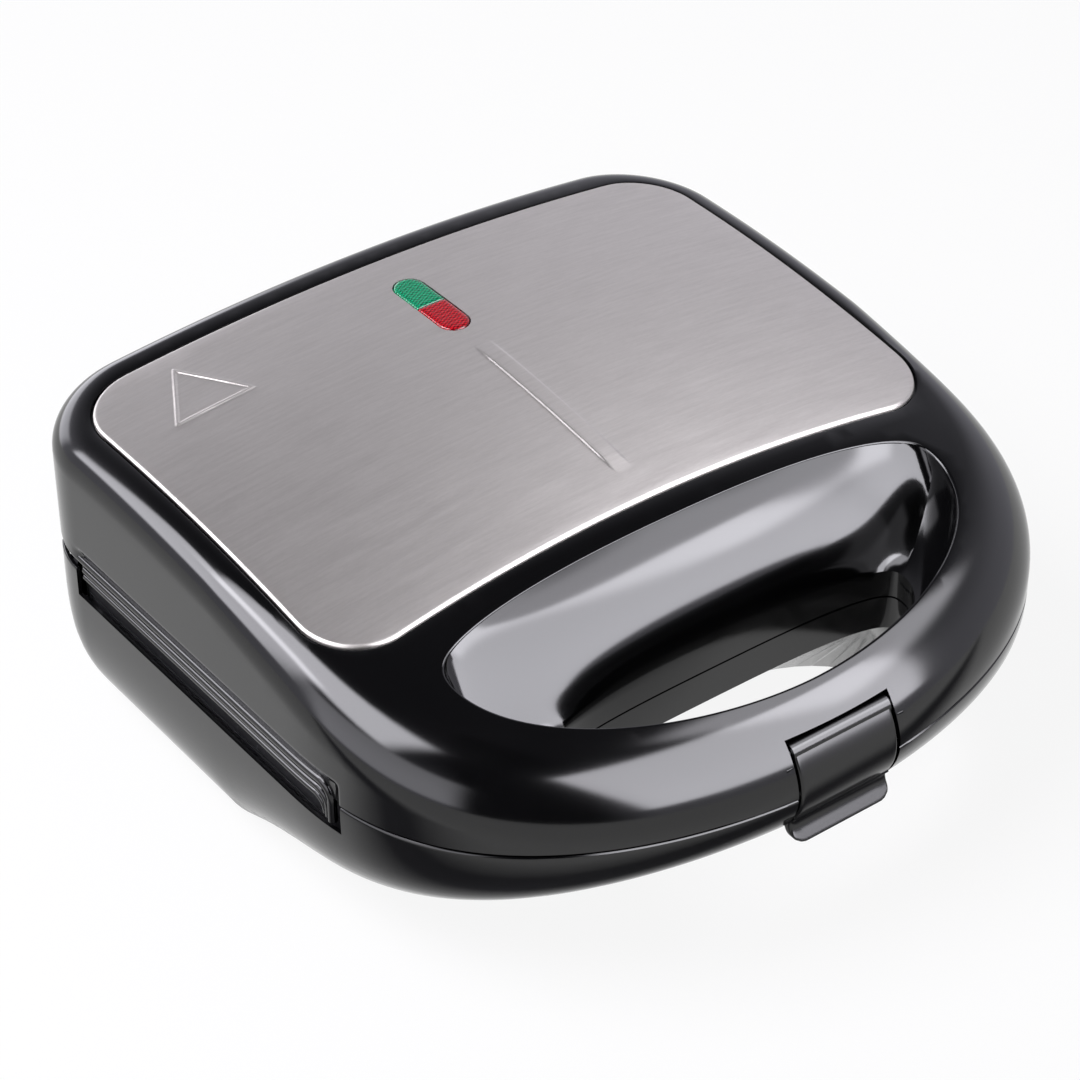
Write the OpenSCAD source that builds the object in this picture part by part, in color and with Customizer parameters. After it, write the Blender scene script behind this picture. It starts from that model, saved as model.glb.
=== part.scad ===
// Two-slice sandwich toaster: a hinged lid and a base, each a plastic shell round a
// coated aluminium cooking plate with its own heater, closed by a clip on the handle.
// Millimetres. X is the width, -Y the handle side, +Y the hinge side, Z = 0 the worktop.

/* [Case outline] */
// Width over the side walls
case_w = 232; // [222:1:244]
// Y of the widest line, where the handle curve starts
wide_y = -21.4; // [-28.4:1:-14.4]
// Reach of the handle front beyond the widest line
front_reach = 94.6; // [88:0.2:104]
// Y of the rear wall's outer face
rear_y = 114.1; // [112.1:0.5:117.6]
// Radius of the rear corners in plan
rear_r = 30; // [24:1:36]
// Roundness of the handle curve across the width
front_nx = 1.95; // [1.8:0.05:2.4]
// Roundness of the handle curve along the depth
front_ny = 2.65; // [2.3:0.05:2.9]
// Wall of the plastic shells
wall = 2.5; // [2:0.1:3]

/* [Lid shell] */
// Height of the lid's crown above the parting plane
lid_h = 49.7; // [46:0.1:56]
// Fall of the crown at the side walls
crown_x = 8.9; // [6:0.1:11]
// Fall of the crown at the handle front
crown_y = 30.9; // [26:0.1:32]
// Y where the crown starts to fall towards the handle
crown_y0 = 73.6; // [61.6:1:81.6]
// Edge rounding at the sides, measured inwards
edge_in_side = 8.3; // [6:0.1:10]
// Edge rounding at the sides, measured downwards
edge_down_side = 9.2; // [6:0.1:11]
// Edge rounding at the handle front, measured inwards
edge_in_front = 23; // [18:0.5:26]
// Edge rounding at the handle front, measured downwards
edge_down_front = 19; // [15:0.5:20]
// Y where the roundings start to widen towards the handle
blend_y = 13.6; // [1.6:1:31.6]

/* [Base shell] */
// Depth of the base below the parting plane
base_h = 50; // [48:0.5:58]
// Tuck of the base under the side and rear walls
tuck_side = 12; // [9:0.5:14]
// Sharpness of that tuck
tuck_side_p = 4.7; // [4:0.1:6]
// Tuck of the base under the handle front
tuck_front = 83; // [78:1:88]
// Sharpness of the handle's tuck
tuck_front_p = 2; // [1.8:0.05:2.3]
// Height of the open slot between lid and base along the sides
slot_h = 13; // [12.5:0.1:14]
// Y of the slot's front end
slot_front_y = -45.4; // [-47.4:0.5:-43.4]
// Lift of the lid's lower edge over the hinge
lid_rear_lift = 4; // [3.5:0.1:6]
// Reach of the lid's side walls below the parting plane, along the slot
lid_skirt = 2.5; // [1:0.1:4]

/* [Handle] */
// Half-width of the scoop behind the handle
scoop_hw = 83.5; // [80:0.5:86]
// Y of the scoop's widest line
scoop_y = -53.4; // [-55.4:0.5:-51.4]
// Reach of the scoop towards the panel
scoop_rear = 15; // [13:0.5:17]
// Reach of the scoop towards the handle
scoop_front = 46; // [43:0.5:48]
// Half-width of the hand hole
hole_hw = 60; // [56:0.5:64]
// Y of the hand hole's widest line
hole_y = -68.4; // [-70.4:0.5:-66.4]
// Reach of the hand hole towards the plates
hole_rear = 9; // [7:0.5:11]
// Reach of the hand hole towards the handle
hole_front = 28; // [25:0.5:30]
// Height of the scoop's lower lip above the parting plane
scoop_lip_h = 9; // [7:0.5:12]

/* [Steel panel] */
// Half-width of the steel panel
panel_hw = 105; // [101:0.5:105.5]
// Y of the panel's rear edge
panel_rear_y = 100.6; // [97.6:0.5:101.6]
// Y of the panel's front edge at the middle
panel_front_y = -29.9; // [-31.4:0.5:-26.4]
// How far the front corners lie ahead of the middle
panel_bow = 4.5; // [2:0.5:6]
// Radius of the panel's corners
panel_r = 19; // [14:0.5:24]
// Thickness of the panel's turned edge
panel_t = 1; // [0.8:0.1:1.4]
// Gap round the panel
panel_gap = 0.6; // [0.3:0.1:0.9]

/* [Indicator lamps] */
// Length of the two lenses together
lens_l = 31; // [27:0.5:34]
// Width of the lenses
lens_w = 9.6; // [8:0.2:11]
// Y of the joint between the lenses
lens_y = 71.6; // [63.6:1:77.6]
// Height of the lenses above the panel
lens_proud = 0.7; // [0.3:0.1:1.2]
// Diameter of a neon lamp
lamp_d = 5; // [4:0.2:6]

/* [Cooking plates] */
// Depth of the closed plates' meeting plane below the parting plane
meet_drop = 11; // [10.5:0.1:11.5]
// Inset of a plate's sides from the case's widest line
plate_inset = 3.5; // [3.5:0.5:5]
// Half-depth of a plate
plate_hd = 71; // [70.5:0.1:71.5]
// Y of the plates' middle
plate_y = 25.6; // [25.1:0.1:26.1]
// Thickness of the cast plate
plate_t = 3; // [2.5:0.1:3.5]
// Half-width of a bread pocket
pocket_hw = 42; // [38:0.5:42.5]
// Half-depth of a bread pocket
pocket_hd = 53.5; // [50:0.5:53.5]
// X of a pocket's middle
pocket_x = 47; // [46.5:0.1:47.5]
// Depth of a bread pocket
pocket_h = 11; // [9:0.5:13]
// Lean of the pocket walls
pocket_draft = 6; // [4:0.5:8]
// Width of the cutting ridge at the meeting plane
ridge_w = 3; // [2:0.2:5]
// Gap between the two closed plates
plate_gap = 0.5; // [0.3:0.1:0.8]

/* [Heaters] */
// Diameter of the heater tube
heater_d = 6.5; // [5.5:0.1:7]
// Half the distance between the heater's legs
heater_r = 28; // [24:0.5:32]
// X of the heater's bend
heater_bend_x = 58; // [50:1:62]
// X of the heater's terminals
heater_end_x = -80; // [-84:1:-74]
// Sheet thickness of the heat shields
shield_t = 0.8; // [0.6:0.1:1]

/* [Hinge] */
// Y of the hinge axis
hinge_y = 105.6; // [105.4:0.1:106.6]
// Radius of the base's hinge barrel
barrel_r = 8; // [7:0.1:8.2]
// Half-length of the hinge barrel
barrel_hw = 75; // [70:1:78]
// Width of the lid's hinge arms
arm_w = 11; // [9:0.5:12]
// Width of the base's outer hinge lugs
lug_w = 7; // [6:0.5:8]
// Radius of the hinge arms and lugs
arm_r = 6.5; // [5.8:0.1:6.6]
// Diameter of the hinge pins
hinge_pin_d = 5; // [4:0.2:5.6]
// Diameter of the lead that crosses the hinge
lead_d = 5; // [4:0.2:5.4]

/* [Latch] */
// Width of the latch clip
latch_w = 33.4; // [30:0.2:35]
// Width of its slot in the handle
latch_slot_w = 35.4; // [35.2:0.2:37]
// Height of the slot's top above the parting plane
latch_slot_h = 15.6; // [15:0.1:17]
// Y of the slot's rear wall
latch_slot_y = -103.7; // [-103.9:0.1:-103.4]
// Thickness of the clip
latch_t = 2.5; // [2:0.1:2.8]
// Y of the latch pin
latch_pin_y = -108.4; // [-108.6:0.1:-108.2]
// Height of the latch pin above the parting plane
latch_pin_h = 11; // [10.5:0.1:11.3]
// Diameter of the latch pin
latch_pin_d = 3; // [2.4:0.1:3.4]
// Y of the catch face on the base
catch_y = -107.6; // [-107.8:0.1:-107.4]

/* [Base fittings] */
// Height of the case above the worktop
foot_h = 2.5; // [2:0.1:5]
// Diameter of a foot
foot_d = 16; // [12:0.5:18]
// Half the distance between the left and right feet
foot_x = 74; // [66:1:76]
// Y of the front feet
foot_front_y = -12.4; // [-13.4:1:-3.4]
// Y of the rear feet
foot_rear_y = 85.6; // [77.6:1:89.6]
// Diameter of the mains lead that the gland takes
cord_d = 6.6; // [5.6:0.2:7.6]
// X of the mains gland
gland_x = 50; // [44:1:56]
// Drop of the mains gland below the base frame's top
gland_drop = 10.2; // [9.7:0.5:11.2]

/* [Fits] */
// Clearance between a pin and its bore, on the radius
pin_fit = 0.05; // [0.02:0.01:0.1]
// Clearance between fitted plastic parts
fit = 0.3; // [0.2:0.05:0.4]
// Half the gap between the closed handle halves
part_gap = 0.3; // [0.2:0.05:0.5]

/* [Hidden] */

$fn = 48;
black = [0.06, 0.06, 0.065];
steel = [0.75, 0.74, 0.73];

part_z = foot_h + base_h;
meet_z = part_z - meet_drop;
half_w = case_w / 2;
plate_hw = half_w - plate_inset;
front_y = wide_y - front_reach;

// ---- plan outline: handle curve, straight sides, round rear corners ----
n_front = 36;
n_side = 5;
n_corner = 8;
n_rear = 6;
corner_y = rear_y - rear_r;

function sgn_pow(v, p) = sign(v) * pow(abs(v), p);
function front_pt(u, i) = [
    (half_w - i) * sgn_pow(cos(u), 2 / front_nx),
    wide_y - (front_reach - i) * sgn_pow(sin(u), 2 / front_ny)
];
function corner_pt(side, t, i) =
    let (r = max(rear_r - 0.6 * i, 3))
    [side * (half_w - i - r + r * cos(t)), rear_y - i - r + r * sin(t)];
function outline(i) = concat(
    [for (k = [0 : n_front]) front_pt(180 * k / n_front, i)],
    [for (k = [1 : n_side - 1]) [-(half_w - i), wide_y + (corner_y - wide_y) * k / n_side]],
    [for (k = [0 : n_corner]) corner_pt(-1, 90 * k / n_corner, i)],
    [for (k = [1 : n_rear - 1]) [(half_w - rear_r) * (2 * k / n_rear - 1), rear_y - i]],
    [for (k = [0 : n_corner]) corner_pt(1, 90 - 90 * k / n_corner, i)],
    [for (k = [1 : n_side - 1]) [half_w - i, corner_y + (wide_y - corner_y) * k / n_side]]
);
rim = outline(0);
n_ring = len(rim);

// 0 at the sides and rear, rising to 1 at the handle front
function frontness(y) = min(1, max(0, (blend_y - y) / (blend_y - front_y)));
function blend(a, b, f) = a + (b - a) * f;
// A ring of the outline with its own inset at each point
function ring_xy(insets) = let (far = [for (i = insets) outline(i)]) [for (k = [0 : n_ring - 1]) far[k][k]];

function crown(x, y) = part_z + lid_h - crown_x * pow(x / half_w, 2)
    - crown_y * pow(max(0, crown_y0 - y) / (crown_y0 - front_y), 2);

// Twice the signed area of a ring, below 0 where it runs clockwise seen from above
function ring_turn(ring) =
    let (n = len(ring), next = [for (k = [0 : n - 1]) ring[(k + 1) % n]])
    [for (p = ring) p.x] * [for (p = next) p.y] - [for (p = ring) p.y] * [for (p = next) p.x];
function reversed(list) = [for (k = [len(list) - 1 : -1 : 0]) list[k]];

function middle(ring) = let (n = len(ring)) [for (i = [0 : 2]) [for (p = ring) p[i]] * [for (p = ring) 1 / n]];

// Stacks rings of equal length into one closed solid, from the bottom ring up
module loft(stack) {
    turned = max([for (r = stack) ring_turn(r)]) > 0;
    rings = turned ? [for (r = stack) reversed(r)] : stack;
    n = len(rings[0]);
    last = len(rings) - 1;
    low_tip = n * len(rings);
    sides = [for (r = [0 : last - 1]) for (k = [0 : n - 1])
        let (a = r * n + k, b = r * n + (k + 1) % n)
        each [[a, b, b + n], [a, b + n, a + n]]];
    low_cap = [for (k = [0 : n - 1]) [(k + 1) % n, k, low_tip]];
    high_cap = [for (k = [0 : n - 1]) [last * n + k, last * n + (k + 1) % n, low_tip + 1]];
    polyhedron(
        points = concat([for (r = rings) each r], [middle(rings[0]), middle(rings[last])]),
        faces = concat(low_cap, sides, high_cap),
        convexity = 8
    );
}

// ---- lid shell surface ----
n_edge = 6;
function edge_in(y) = blend(edge_in_side, edge_in_front, frontness(y));
function edge_down(y) = blend(edge_down_side, edge_down_front, frontness(y));
function lid_edge_ring(t, skin) =
    let (xy = ring_xy([for (p = rim) skin + edge_in(p.y) * (1 - cos(t))]))
    [for (k = [0 : n_ring - 1]) [xy[k].x, xy[k].y, max(lid_frame_z + 0.1,
        crown(xy[k].x, xy[k].y) - skin - edge_down(rim[k].y) * (1 - sin(t)))]];
function lid_cap_ring(s, skin) =
    let (r = lid_edge_ring(90, skin))
    [for (p = r) let (x = p.x * (1 - s), y = blend(p.y, plate_y, s)) [x, y, crown(x, y) - skin]];
module lid_form(skin, bottom_z) {
    walls = ring_xy([for (p = rim) skin]);
    loft(concat(
        [[for (p = walls) [p.x, p.y, bottom_z]]],
        [for (k = [0 : n_edge]) lid_edge_ring(90 * k / n_edge, skin)],
        [for (s = [0.25, 0.5, 0.75, 0.92]) lid_cap_ring(s, skin)]
    ));
}

// ---- base shell surface ----
n_tuck = 14;
function tuck(y, depth) =
    let (f = frontness(y))
    blend(tuck_side, tuck_front, f) * pow(min(1, depth / base_h), blend(tuck_side_p, tuck_front_p, f));
function base_ring(depth, skin) =
    let (xy = ring_xy([for (p = rim) tuck(p.y, depth + skin) + skin]))
    [for (p = xy) [p.x, p.y, part_z - depth]];
module base_form(skin) {
    depths = [for (k = [n_tuck : -1 : 0]) (base_h - skin) * (1 - pow(1 - k / n_tuck, 1.6))];
    loft([for (d = depths) base_ring(d, skin)]);
}

// ---- scoop and hand hole ----
n_dee = 60;
function dee_pt(a, hw, rear, front, y0) =
    let (s = sin(a), n = s > 0 ? 3 : 1.9)
    [hw * sgn_pow(cos(a), 2 / n), y0 + (s > 0 ? rear : front) * sgn_pow(s, 2 / n)];
function scoop_plan(a, grow) = dee_pt(a, scoop_hw + grow, scoop_rear + grow, scoop_front + grow, scoop_y);
function hole_plan(a, grow) = dee_pt(a, hole_hw + grow, hole_rear + grow, hole_front + grow, hole_y);
function rear_weight(a) = pow(max(0, sin(a)), 0.7);
function scoop_ring(s, grow) = [for (k = [0 : n_dee - 1])
    let (
        a = 360 * k / n_dee,
        w = rear_weight(a),
        in_share = blend(1 - cos(90 * s), sin(90 * s), w),
        down_share = blend(sin(90 * s), 1 - cos(90 * s), w),
        top = scoop_plan(a, grow),
        low = hole_plan(a, grow),
        z_top = crown(top.x, top.y) - grow / 2,
        z_low = part_z + scoop_lip_h - grow / 2
    )
    [blend(top.x, low.x, in_share), blend(top.y, low.y, in_share), blend(z_top, z_low, down_share)]];
module scoop_form(grow) {
    hole = [for (k = [0 : n_dee - 1]) hole_plan(360 * k / n_dee, grow)];
    mouth = [for (k = [0 : n_dee - 1]) scoop_plan(360 * k / n_dee, grow)];
    loft(concat(
        [[for (p = hole) [p.x, p.y, part_z - 1]]],
        [for (s = [1, 0.85, 0.7, 0.55, 0.4, 0.25, 0.12, 0]) scoop_ring(s, grow)],
        [[for (p = mouth) [p.x, p.y, part_z + lid_h]]]
    ));
}
module hole_prism(grow, z0, z1) {
    translate([0, 0, z0])
        linear_extrude(z1 - z0)
            polygon([for (k = [0 : n_dee - 1]) hole_plan(360 * k / n_dee, grow)]);
}

// ---- small shared shapes ----
module slab(x, y, z) {
    translate([x[0], y[0], z[0]])
        cube([x[1] - x[0], y[1] - y[0], z[1] - z[0]]);
}
module rod_x(y, z, r, x0, x1) {
    translate([x0, y, z])
        rotate([0, 90, 0])
            cylinder(r = r, h = x1 - x0);
}
module both_sides() {
    children();
    mirror([1, 0, 0]) children();
}
// Pan-head screw, its head's underside at the origin and its shank along -Z
head_h = 1.6;
screw_sink = 1.75;
module screw(shank_d, length) {
    head_r = shank_d * 0.95;
    difference() {
        union() {
            translate([0, 0, -length]) cylinder(d = shank_d, h = length);
            cylinder(r = head_r, h = head_h);
        }
        for (a = [0, 90])
            rotate([0, 0, a])
                translate([-head_r * 0.6, -shank_d * 0.1, head_h / 2])
                    cube([head_r * 1.2, shank_d * 0.2, head_h]);
    }
}
frame_screw_d = 3.2;
frame_screw_l = 10;
plate_screw_d = 3;
plate_screw_l = 7;
small_screw_d = 2.4;
small_screw_l = 6;
lamp_screw_l = 4.5;
thread_fit = 0.05;

// ---- levels of the inner parts ----
frame_t = wall;
lid_frame_z = part_z + part_gap;
base_frame_z = 2 * meet_z - lid_frame_z;
lid_cheek_y = 107.1;
window_room = 1.5;
window_hw = pocket_x + pocket_hw + plate_t + window_room;
window_hd = pocket_hd + plate_t + window_room;
post_x = 88;
post_dy = window_hd + 5.2;
post_r = 3.6;
pocket_top = pocket_h + plate_t;
heater_rise = pocket_top + heater_d / 2;
shield_rise = pocket_top + heater_d + 0.1;
shield_hw = window_hw + 1.2;
shield_hd = window_hd + 1.2;
tab_l = 12;

lid_screw_spots = [[66, 102.6], [-66, 102.6], [77, -51.2], [-77, -51.2], [38, -102.7], [-38, -102.7]];
lid_boss_r = 4;

// ---- steel panel outline, shared with its seat in the lid ----
n_panel_edge = 12;
function panel_front(x) = panel_front_y - panel_bow * pow(x / panel_hw, 2);
function panel_outline(g) =
    let (
        hw = panel_hw + g, r = panel_r + g, back = panel_rear_y + g, cx = hw - r,
        front = panel_front(cx) - g
    )
    concat(
        [for (k = [0 : 6]) [cx + r * cos(15 * k), back - r + r * sin(15 * k)]],
        [for (k = [1 : n_panel_edge - 1]) [cx * (1 - 2 * k / n_panel_edge), back]],
        [for (k = [0 : 6]) [-cx - r * sin(15 * k), back - r + r * cos(15 * k)]],
        [for (k = [0 : 6]) [-cx - r * cos(15 * k), front + r - r * sin(15 * k)]],
        [for (k = [1 : n_panel_edge - 1])
            let (x = -cx * (1 - 2 * k / n_panel_edge)) [x, panel_front(x) - g]],
        [for (k = [0 : 6]) [cx + r * sin(15 * k), front + r - r * cos(15 * k)]]
    );
module panel_form(g, low, high) {
    edge = panel_outline(g);
    shrink = [1, 0.75, 0.5, 0.25, 0.08];
    function level(s, dz) = [for (p = edge)
        let (x = p.x * s, y = blend(plate_y, p.y, s)) [x, y, crown(x, y) + dz]];
    loft(concat(
        [for (k = [4 : -1 : 0]) level(shrink[k], low)],
        [for (k = [0 : 4]) level(shrink[k], high)]
    ));
}
panel_low = panel_t / 2;

// ---- lens outline ----
module lens_plan(g, half) {
    r = lens_w / 2 + g;
    run = lens_l / 2 - lens_w / 2;
    translate([0, lens_y])
        intersection() {
            union() {
                for (s = [-1, 1]) translate([0, s * run]) circle(r = r);
                translate([-r, -run]) square([2 * r, 2 * run]);
            }
            if (half != 0)
                translate([-lens_w, half > 0 ? 0.1 : -lens_l]) square([2 * lens_w, lens_l - 0.1]);
        }
}
lens_top = crown(0, lens_y) + panel_low + lens_proud;
lens_seat = crown(0, lens_y) - wall - 0.5;
lens_flange_t = 1.2;
lens_flange = 1.6;

// ============================== lid ==============================

boss_top = part_z + lid_h;
module lid_bosses() {
    for (p = lid_screw_spots)
        translate([p.x, p.y, lid_frame_z + frame_t])
            cylinder(r = lid_boss_r, h = boss_top - lid_frame_z - frame_t);
    for (s = [-1, 1])
        translate([0, lens_y + s * lamp_lug_dy, lamp_lug_z])
            cylinder(r = lamp_boss_r, h = boss_top - lamp_lug_z);
}
latch_cheek = 3;
latch_slot_hw = latch_slot_w / 2;
lamp_box_hd = lens_l / 2 + lens_flange + 1.5;
lamp_lug_dy = lamp_box_hd + 4.5;
lamp_lug_z = lens_seat - lens_flange_t;
lamp_boss_r = 3;
arm_x0 = barrel_hw + 1;
arm_x1 = arm_x0 + arm_w;
lug_x0 = arm_x1 + 1;
lug_x1 = lug_x0 + lug_w;
arm_back = 3;
pin_x0 = arm_x0 - 13;

module lid_hinge_arms() {
    both_sides()
        difference() {
            union() {
                rod_x(hinge_y, meet_z, arm_r, arm_x0, arm_x1);
                slab([arm_x0, arm_x1], [hinge_y - arm_r, hinge_y + arm_back],
                    [meet_z, part_z + lid_rear_lift + 4]);
                slab([arm_x0, arm_x1], [hinge_y - arm_r, rear_y - wall / 2],
                    [part_z + lid_rear_lift + 1.5, part_z + lid_rear_lift + 8]);
            }
            rod_x(hinge_y, meet_z, hinge_pin_d / 2 + pin_fit, arm_x0 - 1, arm_x1 + 1);
        }
}

skirt_front_y = slot_front_y + 3;
skirt_rear_y = corner_y - 2;
module lid_shell() {
    difference() {
        lid_form(0, part_z - lid_skirt);
        slab([-half_w - 1, half_w + 1], [front_y - 1, skirt_front_y], [part_z - lid_skirt - 1, lid_frame_z]);
        slab([-half_w - 1, half_w + 1], [skirt_rear_y, rear_y + 1],
            [part_z - lid_skirt - 1, part_z + lid_rear_lift]);
        difference() {
            lid_form(wall, part_z - lid_skirt - 1);
            scoop_form(wall);
            slab([-latch_slot_hw - latch_cheek, latch_slot_hw + latch_cheek],
                [front_y, latch_slot_y + wall - 0.5], [lid_frame_z - 1, part_z + latch_slot_h + wall]);
            intersection() {
                lid_form(wall / 2, lid_frame_z);
                lid_bosses();
            }
        }
    }
}

module lid_housing() {
    color(black) {
        difference() {
            lid_shell();
            scoop_form(0);
            panel_form(panel_gap, -panel_low, 4);
            translate([0, 0, lens_seat - 2]) linear_extrude(8) lens_plan(fit, 0);
            slab([-latch_slot_hw, latch_slot_hw], [front_y - 1, latch_slot_y],
                [part_z - 1, part_z + latch_slot_h]);
            rod_x(latch_pin_y, part_z + latch_pin_h, latch_pin_d / 2 + pin_fit,
                -latch_slot_hw - latch_cheek + 0.5, latch_slot_hw + latch_cheek - 0.5);
            for (p = lid_screw_spots)
                translate([p.x, p.y, part_z]) cylinder(d = frame_screw_d + 2 * thread_fit, h = 14);
            for (s = [-1, 1])
                translate([0, lens_y + s * lamp_lug_dy, lamp_lug_z - 1])
                    cylinder(d = small_screw_d + 2 * thread_fit, h = lamp_screw_l - 0.7);
        }
        lid_hinge_arms();
    }
}

// The moulded frame that closes the lid from below and carries its plate
module lid_frame() {
    grow = wall + 2 * fit;
    color(black)
        difference() {
            translate([0, 0, lid_frame_z]) linear_extrude(frame_t) polygon(outline(grow));
            slab([-half_w, half_w], [lid_cheek_y, rear_y + 1], [part_z, part_z + 2 * frame_t + 1]);
            slab([-window_hw, window_hw], [plate_y - window_hd, plate_y + window_hd],
                [part_z, part_z + 2 * frame_t]);
            hole_prism(grow, part_z, part_z + 2 * frame_t);
            slab([-latch_slot_hw - latch_cheek - fit, latch_slot_hw + latch_cheek + fit],
                [front_y, latch_slot_y + wall], [part_z, part_z + 2 * frame_t]);
            both_sides()
                slab([arm_x0 - 1, arm_x1 + 1], [hinge_y - arm_r - 1, rear_y], [part_z, part_z + 2 * frame_t]);
            translate([lead_up_x, hinge_y, part_z]) cylinder(d = lead_d + 2, h = 2 * frame_t);
            for (p = lid_screw_spots)
                translate([p.x, p.y, part_z]) cylinder(d = frame_screw_d + 0.4, h = 2 * frame_t);
            for (p = post_spots)
                translate([p.x, p.y, part_z]) cylinder(d = plate_screw_d + 0.4, h = 2 * frame_t);
            for (p = lid_screw_spots)
                translate([p.x, p.y, part_z]) cylinder(r = frame_screw_d + 0.1, h = part_gap + screw_sink);
        }
}
post_spots = [for (sx = [-1, 1]) for (sy = [-1, 1]) [sx * post_x, plate_y + sy * post_dy]];

// Brushed steel cover with a pressed rib down its middle
rib_hw = 3.6;
rib_rear_y = 50.6;
rib_front_y = -15.4;
rib_inset = 12;
rib_steps = [[0, 0.4], [1.2, 0.8]];
module rib_plan(g) {
    r = rib_hw - g;
    translate([0, rib_rear_y - rib_hw]) circle(r = r);
    translate([0, rib_front_y + rib_hw]) circle(r = r);
    translate([-r, rib_front_y + rib_hw]) square([2 * r, rib_rear_y - rib_front_y - 2 * rib_hw]);
}
module steel_panel() {
    color(steel)
        difference() {
            union() {
                panel_form(0, -panel_low + 0.05, panel_low);
                for (step = rib_steps)
                    intersection() {
                        panel_form(-rib_inset, 0, panel_low + step[1]);
                        translate([0, 0, part_z]) linear_extrude(lid_h + 2) rib_plan(step[0]);
                    }
            }
            translate([0, 0, lens_seat]) linear_extrude(8) lens_plan(fit / 2, 0);
        }
}

module lens(half) {
    translate([0, 0, lens_seat]) linear_extrude(lens_top - lens_seat) lens_plan(0, half);
    translate([0, 0, lens_seat - lens_flange_t]) linear_extrude(lens_flange_t) lens_plan(lens_flange, half);
}
module lens_green() {
    color([0.05, 0.5, 0.3]) lens(1);
}
module lens_red() {
    color([0.6, 0.05, 0.05]) lens(-1);
}

// Open-topped box under the lenses, screwed to two bosses of the lid
lamp_box_hw = lens_w / 2 + lens_flange + 1.5;
lamp_box_h = 11;
lamp_box_t = 1.5;
lamp_floor = lamp_lug_z - lamp_box_h;
module lamp_holder() {
    color([0.85, 0.84, 0.8])
        difference() {
            union() {
                slab([-lamp_box_hw, lamp_box_hw], [lens_y - lamp_box_hd, lens_y + lamp_box_hd],
                    [lamp_floor, lamp_lug_z]);
                slab([-lamp_boss_r, lamp_boss_r],
                    [lens_y - lamp_lug_dy - lamp_boss_r, lens_y + lamp_lug_dy + lamp_boss_r],
                    [lamp_lug_z - 2, lamp_lug_z]);
            }
            slab([-lamp_box_hw + lamp_box_t, lamp_box_hw - lamp_box_t],
                [lens_y - lamp_box_hd + lamp_box_t, lens_y + lamp_box_hd - lamp_box_t],
                [lamp_floor + lamp_box_t, lamp_lug_z + 1]);
            for (s = [-1, 1])
                translate([0, lens_y + s * lamp_lug_dy, lamp_lug_z - 3])
                    cylinder(d = small_screw_d + 0.4, h = 4);
        }
}
lamp_run = 7;
module neon_lamps() {
    color([0.95, 0.6, 0.4])
        for (s = [-1, 1])
            translate([0, lens_y + s * lens_l / 4, lamp_floor + lamp_box_t + lamp_d / 2])
                rotate([90, 0, 0]) {
                    translate([0, 0, -lamp_run / 2]) cylinder(d = lamp_d, h = lamp_run);
                    for (e = [-1, 1]) translate([0, 0, e * lamp_run / 2]) sphere(d = lamp_d);
                }
}
module lamp_holder_screws() {
    color(steel)
        for (s = [-1, 1])
            translate([0, lens_y + s * lamp_lug_dy, lamp_lug_z - 2])
                mirror([0, 0, 1]) screw(small_screw_d, lamp_screw_l);
}

// ---- cooking plate, heater and heat shield, drawn with the plate's face at Z = 0 ----
skirt_h = lid_frame_z - meet_z - plate_gap / 2;
module round_rect(hw, hd, r) {
    for (sx = [-1, 1]) for (sy = [-1, 1])
        translate([sx * (hw - r), sy * (hd - r)]) circle(r = r);
    square([2 * hw - 2 * r, 2 * hd], center = true);
    square([2 * hw, 2 * hd - 2 * r], center = true);
}
module frustum(hw, hd, lean, z0, z1) {
    corners = [[1, 1], [-1, 1], [-1, -1], [1, -1]];
    loft([
        [for (c = corners) [c.x * hw, c.y * hd, z0]],
        [for (c = corners) [c.x * (hw - lean), c.y * (hd - lean), z1]]
    ]);
}
plate_r = 14;
base_skirt_inset = 5;
ridge_lean = 4;
module pocket_ridge() {
    run = 2 * sqrt(pow(pocket_hw, 2) + pow(pocket_hd, 2));
    rotate([0, 0, atan2(pocket_hd, pocket_hw)])
        rotate([90, 0, 90])
            translate([0, 0, -run / 2])
                linear_extrude(run)
                    polygon([
                        [-ridge_w / 2, 0.5], [ridge_w / 2, 0.5],
                        [ridge_w / 2 + ridge_lean, pocket_h + 0.5], [-ridge_w / 2 - ridge_lean, pocket_h + 0.5]
                    ]);
}
module cooking_plate(inset) {
    color([0.13, 0.13, 0.13])
        translate([0, plate_y, 0])
            difference() {
                union() {
                    linear_extrude(plate_t) round_rect(plate_hw, plate_hd, plate_r);
                    linear_extrude(skirt_h)
                        difference() {
                            round_rect(plate_hw - inset, plate_hd - inset, plate_r - inset);
                            round_rect(plate_hw - inset - plate_t, plate_hd - inset - plate_t,
                                plate_r - inset - plate_t);
                        }
                    for (p = post_spots)
                        translate([p.x, p.y - plate_y, 0]) cylinder(r = post_r, h = skirt_h);
                    for (s = [-1, 1])
                        translate([s * pocket_x, 0, 0])
                            frustum(pocket_hw + plate_t, pocket_hd + plate_t, pocket_draft, 0.01, pocket_top);
                }
                for (s = [-1, 1])
                    translate([s * pocket_x, 0, 0])
                        difference() {
                            frustum(pocket_hw, pocket_hd, pocket_draft, -0.01, pocket_h);
                            mirror([s < 0 ? 1 : 0, 0, 0]) pocket_ridge();
                        }
                for (p = post_spots)
                    translate([p.x, p.y - plate_y, skirt_h - 4.5])
                        cylinder(d = plate_screw_d + 2 * thread_fit, h = 5);
            }
}
heater_pin_r = 1.5;
heater_pin_end = shield_hw + 4;
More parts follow.
